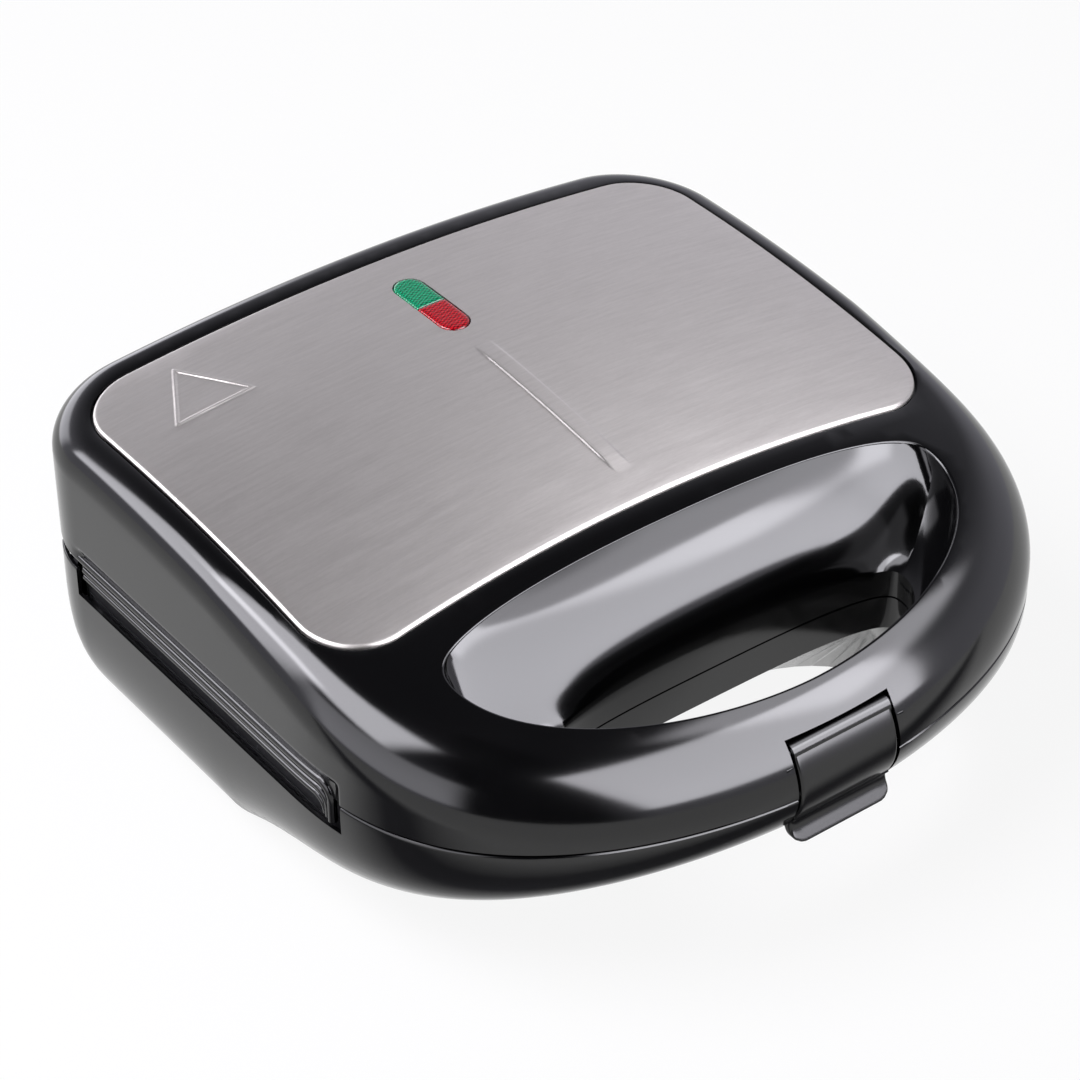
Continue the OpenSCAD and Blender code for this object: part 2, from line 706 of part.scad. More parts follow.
module heater() {
    color([0.35, 0.34, 0.33])
        translate([0, plate_y, heater_rise]) {
            for (s = [-1, 1]) {
                translate([0, s * heater_r, 0]) {
                    rod_x(0, 0, heater_d / 2, heater_end_x, heater_bend_x);
                    rod_x(0, 0, heater_pin_r, -heater_pin_end, heater_end_x + 1);
                }
            }
            translate([heater_bend_x, 0, 0])
                rotate([0, 0, -90])
                    rotate_extrude(angle = 180) translate([heater_r, 0]) circle(d = heater_d);
        }
}
shield_low = skirt_h + frame_t;
module shield(thermostat_hole) {
    color([0.8, 0.8, 0.82])
        translate([0, plate_y, 0])
            difference() {
                union() {
                    slab([-shield_hw, shield_hw], [-shield_hd, shield_hd], [shield_low, shield_rise + shield_t]);
                    for (p = post_spots)
                        slab([p.x - tab_l / 2, p.x + tab_l / 2],
                            p.y > plate_y ? [0, post_dy + 4] : [-post_dy - 4, 0],
                            [shield_low, shield_low + shield_t]);
                }
                slab([-shield_hw + shield_t, shield_hw - shield_t],
                    [-shield_hd + shield_t, shield_hd - shield_t], [shield_low - 1, shield_rise]);
                for (p = post_spots)
                    translate([p.x, p.y - plate_y, shield_low - 1])
                        cylinder(d = plate_screw_d + 0.4, h = 3);
                for (s = [-1, 1])
                    rod_x(s * heater_r, heater_rise, heater_pin_r + 1, -shield_hw - 1, -shield_hw + 2);
                if (thermostat_hole)
                    translate([pocket_x, 0, shield_rise - 1]) cylinder(r = thermostat_r + 1, h = 3);
            }
}
module plate_screws() {
    color(steel)
        for (p = post_spots)
            translate([p.x, p.y, shield_low + shield_t]) screw(plate_screw_d, plate_screw_l);
}
module to_lid() {
    translate([0, 0, meet_z + plate_gap / 2]) children();
}
module to_base() {
    translate([0, 0, meet_z - plate_gap / 2]) mirror([0, 0, 1]) children();
}
module lid_plate() {
    to_lid() cooking_plate(0);
}
module lid_heater() {
    to_lid() heater();
}
module lid_shield() {
    to_lid() shield(false);
}
module lid_plate_screws() {
    to_lid() plate_screws();
}
module lid_frame_screws() {
    color(steel)
        for (p = lid_screw_spots)
            translate([p.x, p.y, lid_frame_z + screw_sink])
                mirror([0, 0, 1]) screw(frame_screw_d, frame_screw_l);
}

// Ceramic block on the lid's heat shield, where the lead from the base ends
lead_bend = 6;
lead_up_x = 2 + lead_bend;
junction_l = 26;
junction_w = 13;
junction_h = 13;
junction_inset = 3.2;
junction_y = plate_y + shield_hd - junction_inset;
lid_shield_top = meet_z + plate_gap / 2 + shield_rise + shield_t;
lid_lead_z = lid_shield_top + junction_h / 2;
module lid_junction() {
    color([0.92, 0.9, 0.85])
        difference() {
            slab([lead_up_x - junction_l / 2, lead_up_x + junction_l / 2],
                [junction_y - junction_w / 2, junction_y + junction_w / 2],
                [lid_shield_top, lid_shield_top + junction_h]);
            for (k = [-1, 0, 1])
                translate([lead_up_x + 8 * k, junction_y, lid_shield_top + junction_h - 3])
                    cylinder(d = 4, h = 4);
        }
}

// A bent stretch of lead: a straight run and a quarter bend, both along the local axes
module quarter_bend(r) {
    rotate_extrude(angle = 90) translate([lead_bend, 0]) circle(r = r);
}
module lid_lead() {
    r = lead_d / 2;
    top_z = lid_lead_z - lead_bend;
    color([0.3, 0.3, 0.32]) {
        rod_x(hinge_y, meet_z, r, 0, 2);
        translate([2, hinge_y, meet_z + lead_bend])
            rotate([90, 0, 0]) rotate([0, 0, -90]) quarter_bend(r);
        translate([lead_up_x, hinge_y, meet_z + lead_bend]) cylinder(r = r, h = top_z - meet_z - lead_bend);
        translate([lead_up_x, hinge_y - lead_bend, top_z])
            rotate([90, 0, 90]) quarter_bend(r);
        translate([lead_up_x, hinge_y - lead_bend, lid_lead_z])
            rotate([90, 0, 0]) cylinder(r = r, h = hinge_y - lead_bend - junction_y - junction_w / 2);
    }
}

// ---- latch clip, its section drawn in the YZ plane and extruded across the handle ----
latch_pin_z = part_z + latch_pin_h;
latch_boss_r = 3.2;
latch_sunk = 0.6;
latch_top_turn = 40;
latch_crease = 11;
latch_tip = [2.2, -17.8];
lip_t = 1.8;
hook_drop = 8;
hook_h = 2.4;
hook_room = 0.6;
function latch_face_lid(t) =
    let (y = front_y + edge_in_front * (1 - cos(t)))
    [y + latch_sunk, max(part_z, crown(0, y) - edge_down_front * (1 - sin(t)))];
function latch_face_base(d) = [front_y + tuck(front_y, d) + latch_sunk, part_z - d];
latch_face = concat(
    [for (k = [0 : 5]) latch_face_lid(latch_top_turn * (1 - k / 5))],
    [for (d = [3, 5.5, hook_drop, hook_drop + hook_h, latch_crease]) latch_face_base(d)]
);
latch_lip = [4, -13.6];
latch_lip_out = [front_y + latch_lip.x, part_z + latch_lip.y];
latch_tip_out = [front_y + latch_tip.x, part_z + latch_tip.y];
module latch_section() {
    n = len(latch_face);
    back = [for (p = latch_face) p + [latch_t, 0]];
    difference() {
        union() {
            polygon(concat(
                latch_face,
                [latch_lip_out, latch_tip_out, latch_tip_out + [lip_t, 0.4], back[n - 1], back[n - 2]],
                [[catch_y - hook_room, part_z - hook_drop - 0.8], [catch_y - hook_room, part_z - hook_drop]],
                [for (k = [n - 3 : -1 : 0]) back[k]]
            ));
            translate([latch_pin_y, latch_pin_z]) circle(r = latch_boss_r);
        }
        translate([latch_pin_y, latch_pin_z]) circle(r = latch_pin_d / 2 + pin_fit);
    }
}
module latch() {
    color(black)
        translate([-latch_w / 2, 0, 0])
            rotate([90, 0, 90])
                linear_extrude(latch_w) latch_section();
}
module latch_pin() {
    half = latch_slot_hw + latch_cheek - 0.6;
    color(steel) rod_x(latch_pin_y, latch_pin_z, latch_pin_d / 2, -half, half);
}
module hinge_pins() {
    color(steel) both_sides() rod_x(hinge_y, meet_z, hinge_pin_d / 2, pin_x0, lug_x1);
}

// ============================== base ==============================

base_wall_top = part_z - slot_h;
screw_seat_t = 3;
base_boss_r = 3.6;
base_post_r = 4.5;
counterbore_r = 3.4;
body_boss_h = 8;
handle_boss_h = 4;
body_screw_spots = [[99.5, 77.6], [-99.5, 77.6], [99.5, 17.6], [-99.5, 17.6]];
handle_screw_spots = [[38, -102.7], [-38, -102.7]];
body_seat_z = base_frame_z - frame_t - body_boss_h - screw_seat_t;
handle_seat_z = part_z - part_gap - frame_t - handle_boss_h - screw_seat_t;

// The hand hole leans back under the plates below the handle
hole_flare_h = 11;
hole_flare_y = 1.06;
hole_flare_x = 0.45;
function base_hole_ring(z, grow) = [for (k = [0 : n_dee - 1])
    let (
        drop = max(0, part_z - hole_flare_h - z),
        hw = hole_hw + hole_flare_x * drop + grow,
        rear = hole_rear + hole_flare_y * drop + grow,
        p = dee_pt(360 * k / n_dee, hw, rear, hole_front + grow, hole_y)
    )
    [p.x, p.y, z]];
module base_hole(grow) {
    loft([base_hole_ring(foot_h - 1, grow), base_hole_ring(part_z - hole_flare_h, grow),
        base_hole_ring(part_z + 1, grow)]);
}

lead_gap_x0 = -9;
lead_gap_x1 = lead_up_x + lead_d / 2 + 1.5;
lead_turn_x = -45;
lead_down_x = lead_turn_x - lead_bend;
notch_h = 3;
block_w = 10;
block_y0 = hinge_y - lead_bend - block_w;
block_x0 = -68;
block_x1 = -34;
gland_z = base_frame_z - gland_drop;
block_z0 = gland_z - 8;
block_h = 12;
block_post_r = 3;
gland_boss_r = 10;
gland_neck_r = cord_d / 2 + 3;
gland_flange = 2.2;
gland_boss_gap = 2.28;
gland_boss_y = rear_y - wall - gland_boss_gap
    - tuck(rear_y, part_z - gland_z + gland_neck_r + gland_flange);
gland_face_y = rear_y - 0.2;
gland_bore_r = cord_d / 2 + 0.1;
saddle_hw = 5.5;
saddle_y0 = 91.6;
saddle_l = 8;
saddle_top = gland_z - cord_d / 2 - 1.2;
clamp_post_dx = 10;
clamp_post_r = 3.4;
clamp_z = gland_z - 1.5;
foot_pocket = 1;
foot_spots = [[foot_x, foot_front_y], [-foot_x, foot_front_y], [foot_x, foot_rear_y], [-foot_x, foot_rear_y]];

module gland_boss() {
    translate([gland_x, gland_boss_y, gland_z])
        rotate([-90, 0, 0]) cylinder(r = gland_boss_r, h = gland_face_y - gland_boss_y);
}
module base_inside_solids() {
    for (p = body_screw_spots)
        translate([p.x, p.y, 0]) cylinder(r = base_post_r, h = body_seat_z + screw_seat_t);
    for (p = handle_screw_spots)
        translate([p.x, p.y, 0]) cylinder(r = base_post_r, h = handle_seat_z + screw_seat_t);
    for (x = [block_x0 + 8, block_x1 - 8])
        translate([x, block_y0 + block_w / 2, 0]) cylinder(r = block_post_r, h = block_z0);
    for (s = [-1, 1])
        translate([gland_x + s * clamp_post_dx, saddle_y0 + saddle_l / 2, 0])
            cylinder(r = clamp_post_r, h = clamp_z);
    slab([gland_x - saddle_hw, gland_x + saddle_hw], [saddle_y0, saddle_y0 + saddle_l], [0, saddle_top]);
    gland_boss();
    slab([-latch_slot_hw - latch_cheek, latch_slot_hw + latch_cheek],
        [front_y, catch_y + 2 * wall], [0, part_z]);
}

module base_shell() {
    difference() {
        union() {
            base_form(0);
            gland_boss();
        }
        difference() {
            base_form(wall);
            base_hole(wall);
            base_inside_solids();
        }
    }
}

module base_barrel() {
    difference() {
        union() {
            for (span = [[-barrel_hw, lead_gap_x0], [lead_gap_x1, barrel_hw]]) {
                rod_x(hinge_y, meet_z, barrel_r, span[0], span[1]);
                slab(span, [hinge_y - 5, rear_y - wall / 2], [base_wall_top - 4, base_wall_top - 1]);
            }
        }
        both_sides()
            rod_x(hinge_y, meet_z, hinge_pin_d / 2 + pin_fit, pin_x0 - 1, barrel_hw + 1);
        base_lead_path(lead_d / 2 + fit);
    }
    both_sides()
        difference() {
            union() {
                rod_x(hinge_y, meet_z, arm_r, lug_x0, lug_x1);
                slab([lug_x0, lug_x1], [hinge_y - arm_r, hinge_y + 5.8], [base_wall_top - 6, base_wall_top]);
            }
            rod_x(hinge_y, meet_z, hinge_pin_d / 2 + pin_fit, lug_x0 - 1, lug_x1 + 1);
        }
}

module base_housing() {
    color(black) {
        difference() {
            base_shell();
            base_hole(0);
            slab([-half_w - 1, half_w + 1], [slot_front_y, rear_y + 1], [base_wall_top, part_z + 1]);
            slab([-half_w - 1, half_w + 1], [front_y - 1, rear_y], [part_z - part_gap, part_z + 1]);
            slab([lead_gap_x0, lead_gap_x1], [hinge_y, rear_y + 1], [base_wall_top - notch_h, part_z]);
            both_sides()
                slab([barrel_hw, lug_x0], [hinge_y, rear_y + 1], [base_wall_top - notch_h, part_z]);
            slab([-latch_slot_hw, latch_slot_hw], [front_y - 1, catch_y], [part_z - 18, part_z + 1]);
            slab([-latch_w / 2, latch_w / 2], [catch_y - 1, catch_y + 2],
                [part_z - hook_drop - hook_h - 1, part_z - hook_drop + 0.3]);
            for (p = body_screw_spots) {
                translate([p.x, p.y, 0]) cylinder(r = counterbore_r, h = body_seat_z);
                translate([p.x, p.y, 0]) cylinder(d = frame_screw_d + 0.4, h = base_frame_z);
            }
            for (p = handle_screw_spots) {
                translate([p.x, p.y, 0]) cylinder(r = counterbore_r, h = handle_seat_z);
                translate([p.x, p.y, 0]) cylinder(d = frame_screw_d + 0.4, h = part_z);
            }
            for (p = foot_spots)
                translate([p.x, p.y, 0]) cylinder(d = foot_d + 0.2, h = foot_h + foot_pocket);
            translate([gland_x, gland_boss_y - 1, gland_z])
                rotate([-90, 0, 0]) cylinder(r = gland_neck_r + 0.1, h = rear_y - gland_boss_y + 2);
            for (s = [-1, 1])
                translate([gland_x + s * clamp_post_dx, saddle_y0 + saddle_l / 2, clamp_z - small_screw_l])
                    cylinder(d = small_screw_d + 2 * thread_fit, h = small_screw_l + 1);
            for (x = [block_x0 + 8, block_x1 - 8])
                translate([x, block_y0 + block_w / 2, block_z0 - 5])
                    cylinder(d = small_screw_d + 2 * thread_fit, h = 6);
        }
        base_barrel();
    }
}

// The moulded frame that carries the base plate and closes the handle's lower half
riser_y = slot_front_y - 1;
module base_frame() {
    grow = wall + 2 * fit;
    low_plan = [for (p = base_ring(part_z - base_frame_z + frame_t, grow)) [p.x, p.y]];
    top_plan = [for (p = base_ring(part_gap + frame_t, grow)) [p.x, p.y]];
    top_z = part_z - part_gap;
    color(black)
        difference() {
            union() {
                intersection() {
                    translate([0, 0, base_frame_z - frame_t]) linear_extrude(frame_t) polygon(low_plan);
                    slab([-half_w, half_w], [riser_y - frame_t, hinge_y - barrel_r - 0.2], [0, part_z]);
                }
                intersection() {
                    translate([0, 0, base_frame_z - frame_t])
                        linear_extrude(top_z - base_frame_z + frame_t) polygon(low_plan);
                    slab([-half_w, half_w], [riser_y - frame_t, riser_y], [0, part_z]);
                }
                intersection() {
                    translate([0, 0, top_z - frame_t]) linear_extrude(frame_t) polygon(top_plan);
                    slab([-half_w, half_w], [front_y, riser_y], [0, part_z]);
                }
                for (p = body_screw_spots)
                    translate([p.x, p.y, base_frame_z - frame_t - body_boss_h])
                        cylinder(r = base_boss_r, h = body_boss_h + frame_t);
                for (p = handle_screw_spots)
                    translate([p.x, p.y, top_z - frame_t - handle_boss_h])
                        cylinder(r = base_boss_r, h = handle_boss_h + frame_t);
            }
            slab([-window_hw, window_hw], [plate_y - window_hd, plate_y + window_hd], [0, part_z]);
            base_hole(grow);
            slab([-latch_slot_hw - latch_cheek - fit, latch_slot_hw + latch_cheek + fit],
                [front_y, catch_y + 2 * wall + fit], [0, part_z]);
            for (p = post_spots)
                translate([p.x, p.y, base_frame_z - frame_t - 1])
                    cylinder(d = plate_screw_d + 0.4, h = frame_t + 2);
            for (p = body_screw_spots)
                translate([p.x, p.y, 0])
                    cylinder(d = frame_screw_d + 2 * thread_fit, h = body_seat_z + frame_screw_l + 0.3);
            for (p = handle_screw_spots)
                translate([p.x, p.y, 0])
                    cylinder(d = frame_screw_d + 2 * thread_fit, h = handle_seat_z + frame_screw_l + 0.3);
        }
}

module base_plate() {
    to_base() cooking_plate(base_skirt_inset);
}
module base_heater() {
    to_base() heater();
}
thermostat_r = 8;
module base_shield() {
    to_base() shield(true);
}
module base_plate_screws() {
    to_base() plate_screws();
}
module base_frame_screws() {
    color(steel) {
        for (p = body_screw_spots)
            translate([p.x, p.y, body_seat_z]) mirror([0, 0, 1]) screw(frame_screw_d, frame_screw_l);
        for (p = handle_screw_spots)
            translate([p.x, p.y, handle_seat_z]) mirror([0, 0, 1]) screw(frame_screw_d, frame_screw_l);
    }
}

// The lead runs along the hinge axis, down inside the barrel and back to the terminal block
block_in_z = block_z0 + block_h / 2;
module base_lead_path(r) {
    rod_x(hinge_y, meet_z, r, lead_turn_x, 0);
    translate([lead_turn_x, hinge_y, meet_z - lead_bend])
        rotate([90, 0, 180]) quarter_bend(r);
    translate([lead_down_x, hinge_y, block_in_z + lead_bend])
        cylinder(r = r, h = meet_z - 2 * lead_bend - block_in_z);
    translate([lead_down_x, hinge_y - lead_bend, block_in_z + lead_bend])
        rotate([90, 0, 90]) rotate([0, 0, -90]) quarter_bend(r);
}
module base_lead() {
    color([0.3, 0.3, 0.32]) base_lead_path(lead_d / 2);
}

module thermostat() {
    low = meet_z - plate_gap / 2 - pocket_top;
    ear_hw = 13;
    color([0.78, 0.78, 0.8]) {
        translate([pocket_x, plate_y, low - thermostat_h]) cylinder(r = thermostat_r, h = thermostat_h);
        slab([pocket_x - ear_hw, pocket_x + ear_hw], [plate_y - 4, plate_y + 4], [low - 1, low]);
        for (s = [-1, 1])
            slab([pocket_x + s * 3 - 0.4, pocket_x + s * 3 + 0.4], [plate_y - 2, plate_y + 2],
                [low - thermostat_h - 5, low - thermostat_h]);
    }
}
thermostat_h = 9;
fuse_r = 3;
fuse_l = 30;
fuse_x = -40;
base_shield_low = meet_z - plate_gap / 2 - shield_rise - shield_t;
module thermal_fuse() {
    color([0.85, 0.82, 0.7]) {
        rod_x(plate_y, base_shield_low - fuse_r, fuse_r, fuse_x - fuse_l / 2, fuse_x + fuse_l / 2);
        rod_x(plate_y, base_shield_low - fuse_r, 0.6, fuse_x - fuse_l / 2 - 6, fuse_x + fuse_l / 2 + 6);
    }
}

module terminal_block() {
    color([0.9, 0.88, 0.84])
        difference() {
            slab([block_x0, block_x1], [block_y0, block_y0 + block_w], [block_z0, block_z0 + block_h]);
            for (x = [block_x0 + 8, block_x1 - 8])
                translate([x, block_y0 + block_w / 2, block_z0 - 1]) cylinder(d = small_screw_d + 0.4, h = block_h + 2);
        }
}
module terminal_screws() {
    color(steel)
        for (x = [block_x0 + 8, block_x1 - 8])
            translate([x, block_y0 + block_w / 2, block_z0 + block_h]) screw(small_screw_d, block_h + 4);
}

// Rubber bush that lines the mains lead's hole in the rear wall
gland_lip = 1.5;
module cord_gland() {
    flange_r = gland_neck_r + gland_flange;
    inner_y = gland_boss_y - gland_lip;
    outer_y = gland_face_y + gland_lip;
    color([0.08, 0.08, 0.08])
        translate([gland_x, 0, gland_z])
            rotate([-90, 0, 0])
                rotate_extrude()
                    polygon([
                        [gland_bore_r, inner_y], [flange_r, inner_y], [flange_r, gland_boss_y],
                        [gland_neck_r, gland_boss_y], [gland_neck_r, gland_face_y],
                        [flange_r, gland_face_y], [flange_r - 0.6, outer_y], [gland_bore_r, outer_y]
                    ]);
}
module cord_clamp() {
    color([0.08, 0.08, 0.08])
        difference() {
            slab([gland_x - clamp_post_dx - 4, gland_x + clamp_post_dx + 4],
                [saddle_y0, saddle_y0 + saddle_l], [clamp_z, clamp_z + 6]);
            translate([gland_x, saddle_y0 - 1, gland_z])
                rotate([-90, 0, 0]) cylinder(r = cord_d / 2 - 0.3, h = saddle_l + 2);
            for (s = [-1, 1])
                translate([gland_x + s * clamp_post_dx, saddle_y0 + saddle_l / 2, clamp_z - 1])
                    cylinder(d = small_screw_d + 0.4, h = 8);
        }
}
module cord_clamp_screws() {
    color(steel)
        for (s = [-1, 1])
            translate([gland_x + s * clamp_post_dx, saddle_y0 + saddle_l / 2, clamp_z + 6])
                screw(small_screw_d, small_screw_l + 5);
}

module feet() {
    h = foot_h + foot_pocket;
    color([0.1, 0.1, 0.1])
        for (p = foot_spots)
            translate([p.x, p.y, 0])
                rotate_extrude()
                    polygon([[0, 0], [foot_d / 2 - 0.8, 0], [foot_d / 2, 0.8], [foot_d / 2, h], [0, h]]);
}

lid_housing();
lid_frame();
steel_panel();
lens_green();
lens_red();
lamp_holder();
neon_lamps();
lid_plate();
lid_heater();
lid_shield();
lid_plate_screws();
lid_frame_screws();
lamp_holder_screws();
lid_junction();
lid_lead();
latch();
latch_pin();
hinge_pins();
base_housing();
base_frame();
base_plate();
base_heater();
base_shield();
base_plate_screws();
base_frame_screws();
base_lead();
thermostat();
thermal_fuse();
terminal_block();
terminal_screws();
cord_gland();
cord_clamp();
cord_clamp_screws();
feet();
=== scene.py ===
# Two-slice sandwich toaster: finished shells, cover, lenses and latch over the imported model
import bpy
import bmesh
import math
from math import cos, hypot, pi, radians, sin, sqrt
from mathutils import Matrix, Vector
from mathutils.geometry import delaunay_2d_cdt


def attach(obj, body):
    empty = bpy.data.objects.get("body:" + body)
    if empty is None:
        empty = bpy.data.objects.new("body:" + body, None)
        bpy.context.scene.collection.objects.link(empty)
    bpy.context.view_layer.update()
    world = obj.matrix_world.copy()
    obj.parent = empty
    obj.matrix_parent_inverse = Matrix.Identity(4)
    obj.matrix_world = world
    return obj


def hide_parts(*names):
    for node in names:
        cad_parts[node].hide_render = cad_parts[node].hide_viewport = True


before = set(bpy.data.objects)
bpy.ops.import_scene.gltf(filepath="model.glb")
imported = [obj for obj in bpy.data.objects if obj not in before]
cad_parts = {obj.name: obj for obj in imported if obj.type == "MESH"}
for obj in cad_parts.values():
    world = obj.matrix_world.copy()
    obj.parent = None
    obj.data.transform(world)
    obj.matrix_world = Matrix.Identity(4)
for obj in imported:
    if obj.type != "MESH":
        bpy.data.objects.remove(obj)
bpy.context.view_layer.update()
mm = 0.001
worldScene = bpy.context.scene
print("packed model loaded")

# where the camera stands and looks, in metres
cameraView = {
    "place": (-0.4651, -0.5939, 0.6261), "target": (0.00337, 0.02405, 0.0443),
    "lensMm": 111.07, "sensorMm": 36, "clipStart": 0.02,
}


def makeCamera(view):
    data = bpy.data.cameras.new("productCamera")
    data.lens = view["lensMm"]
    data.sensor_width = view["sensorMm"]
    data.clip_start = view["clipStart"]
    camera = bpy.data.objects.new("productCamera", data)
    worldScene.collection.objects.link(camera)
    camera.location = view["place"]
    look = Vector(view["target"]) - Vector(view["place"])
    camera.rotation_euler = look.to_track_quat("-Z", "Y").to_euler()
    worldScene.camera = camera


makeCamera(cameraView)
print("camera placed")

# the case's shape, in mm; the corner values say how the rear corners shrink with an inset
case = {
    "halfWidth": 116.0, "wideY": -21.4, "frontReach": 94.6, "rearY": 114.1, "rearRadius": 30.0,
    "cornerShrink": 0.6, "cornerLeast": 3.0,
    "powerX": 1.95, "powerY": 2.65, "partZ": 52.5, "wall": 2.3, "partGap": 0.3,
    "lidHeight": 49.7, "crownX": 8.9, "crownY": 30.9, "crownStartY": 73.6, "blendY": 13.6,
    "edgeInSide": 8.3, "edgeInFront": 23.0, "edgeDownSide": 9.2, "edgeDownFront": 19.0,
    "baseHeight": 50.0, "tuckSide": 12.0, "tuckFront": 83.0, "tuckSidePower": 4.7, "tuckFrontPower": 2.0,
    "slotFrontY": -45.4, "skirtDrop": 2.5, "skirtFrontY": -42.4, "skirtRearY": 82.1, "rearLift": 4.0,
}
partZ = case["partZ"]
frontY = case["wideY"] - case["frontReach"]
cornerY = case["rearY"] - case["rearRadius"]


def mix(a, b, share):
    return a + (b - a) * share


def clamp(value, low=0.0, high=1.0):
    return max(low, min(high, value))


def smooth(value):
    t = clamp(value)
    return t * t * (3 - 2 * t)


def signedPower(value, power):
    return math.copysign(abs(value) ** power, value)


def frontPoint(u, inset):
    return ((case["halfWidth"] - inset) * signedPower(cos(u), 2 / case["powerX"]),
            case["wideY"] - (case["frontReach"] - inset) * max(0.0, sin(u)) ** (2 / case["powerY"]))


def angleAtY(y):
    share = (case["wideY"] - y) / case["frontReach"]
    return math.asin(share ** (case["powerY"] / 2))


def angleAtX(x):
    return math.acos((x / case["halfWidth"]) ** (case["powerX"] / 2))


def cornerRadius(inset):
    return max(case["rearRadius"] - case["cornerShrink"] * inset, case["cornerLeast"])


def cornerPoint(side, t, inset):
    r = cornerRadius(inset)
    half = case["halfWidth"]
    return (side * (half - inset - r + r * cos(t)), case["rearY"] - inset - r + r * sin(t))


def thinned(values, gap):
    # in order, without those that follow closer than the gap
    kept = []
    for value in sorted(values):
        if not kept or value - kept[-1] > gap:
            kept.append(value)
    return kept


def outlineStations(frontStep, marks=(), crossMarks=(), sideStep=3.0, cornerSteps=20, rearStep=6):
    # each station is a rule that gives the outline's point for an inset
    angles = [radians(a * frontStep) for a in range(int(180 / frontStep) + 1)]
    # closer at both ends, where the curve leaves the straight side
    for a in (0.2, 0.5, 0.9, 2.2, 3.7, 5.2):
        angles += [radians(a), pi - radians(a)]
    tiny = 0.0006
    for y in marks:
        a = angleAtY(y)
        angles += [a - tiny, a + tiny, pi - a - tiny, pi - a + tiny]
    for x in crossMarks:
        angles += [angleAtX(x), pi - angleAtX(x)]
    half, wideY, rear = case["halfWidth"], case["wideY"], case["skirtRearY"]
    run = cornerY - wideY
    ys = [wideY + sideStep * k for k in range(1, int(run / sideStep))]
    ys = sorted([y for y in ys if abs(y - rear) > 1] + [rear - 0.2, rear + 0.2])

    def sidePoint(side, y, inset):
        # the sides shorten as the rear corners move in
        shorter = run - (1 - case["cornerShrink"]) * inset
        return side * (half - inset), wideY + (y - wideY) * shorter / run

    turns = [radians(90 * k / cornerSteps) for k in range(cornerSteps + 1)]
    flat = half - case["rearRadius"]
    count = int(2 * flat / rearStep)
    stations = [lambda inset, a=a: frontPoint(a, inset) for a in thinned(angles, tiny * 0.8)]
    stations += [lambda inset, y=y: sidePoint(-1, y, inset) for y in ys]
    stations += [lambda inset, t=t: cornerPoint(-1, t, inset) for t in turns]
    stations += [lambda inset, x=flat * (2 * k / count - 1): (x, case["rearY"] - inset)
                 for k in range(1, count)]
    stations += [lambda inset, t=t: cornerPoint(1, t, inset) for t in reversed(turns)]
    stations += [lambda inset, y=y: sidePoint(1, y, inset) for y in reversed(ys)]
    return stations


def frontness(y):
    # 0 behind the handle, rising to 1 at its front
    return clamp((case["blendY"] - y) / (case["blendY"] - frontY))


def crown(x, y):
    # height of the lid's top before its edge is rounded
    fall = max(0.0, case["crownStartY"] - y) / (case["crownStartY"] - frontY)
    sides = case["crownX"] * (x / case["halfWidth"]) ** 2
    return partZ + case["lidHeight"] - sides - case["crownY"] * fall ** 2


def edgeIn(y):
    return mix(case["edgeInSide"], case["edgeInFront"], frontness(y))


def edgeDown(y):
    return mix(case["edgeDownSide"], case["edgeDownFront"], frontness(y))


def insideInset(x, y, inset):
    if y < case["wideY"]:
        across = abs(x) / (case["halfWidth"] - inset)
        along = (case["wideY"] - y) / (case["frontReach"] - inset)
        return across ** case["powerX"] + along ** case["powerY"] < 1
    half, back = case["halfWidth"] - inset, case["rearY"] - inset
    r = cornerRadius(inset)
    if abs(x) > half - r and y > back - r:
        return hypot(abs(x) - half + r, y - back + r) < r
    return abs(x) < half and y < back


def topHeight(x, y):
    # height of the lid's outer surface, with its rounded edge
    low, high = 0.0, case["edgeInFront"]
    if insideInset(x, y, high):
        return crown(x, y)
    for _ in range(22):
        middle = (low + high) / 2
        if insideInset(x, y, middle):
            low = middle
        else:
            high = middle
    rimY = y
    if y < case["wideY"]:
        rimY = case["wideY"] - case["frontReach"] * (case["wideY"] - y) / (case["frontReach"] - low)
    share = clamp(1 - low / edgeIn(rimY))
    return crown(x, y) - edgeDown(rimY) * (1 - sqrt(1 - share * share))


def tuck(y, depth):
    # how far the base's wall has moved in at a depth below the parting line
    f = frontness(y)
    power = mix(case["tuckSidePower"], case["tuckFrontPower"], f)
    return mix(case["tuckSide"], case["tuckFront"], f) * clamp(depth / case["baseHeight"]) ** power


# how close points may be before they are merged, in metres, and the angles kept sharp, in degrees
weld = {"loft": 0.00002, "shell": 0.00003, "fine": 0.000004, "bead": 0.000002, "packed": 0.000001}
sharpFrom = {"shell": 34, "folded": 40, "lens": 50}


def addPiece(name, mesh):
    piece = bpy.data.objects.new(name, mesh)
    worldScene.collection.objects.link(piece)
    return piece


def meshFrom(name, points, faces, edges=()):
    mesh = bpy.data.meshes.new(name)
    mesh.from_pydata([(x * mm, y * mm, z * mm) for x, y, z in points], edges, faces)
    mesh.update()
    return mesh


def bakeMesh(work, mesh):
    work.to_mesh(mesh)
    work.free()
    mesh.update()
    return mesh


def tidyMesh(mesh, merge, recalc=True):
    work = bmesh.new()
    work.from_mesh(mesh)
    bmesh.ops.remove_doubles(work, verts=work.verts, dist=merge)
    bmesh.ops.dissolve_degenerate(work, edges=work.edges, dist=merge)
    if recalc:
        bmesh.ops.recalc_face_normals(work, faces=work.faces)
    return bakeMesh(work, mesh)


def shadeByAngle(mesh, kind):
    mesh.shade_smooth()
    mesh.set_sharp_from_angle(angle=radians(sharpFrom[kind]))


def addShaded(name, mesh, kind):
    shadeByAngle(mesh, kind)
    return addPiece(name, mesh)


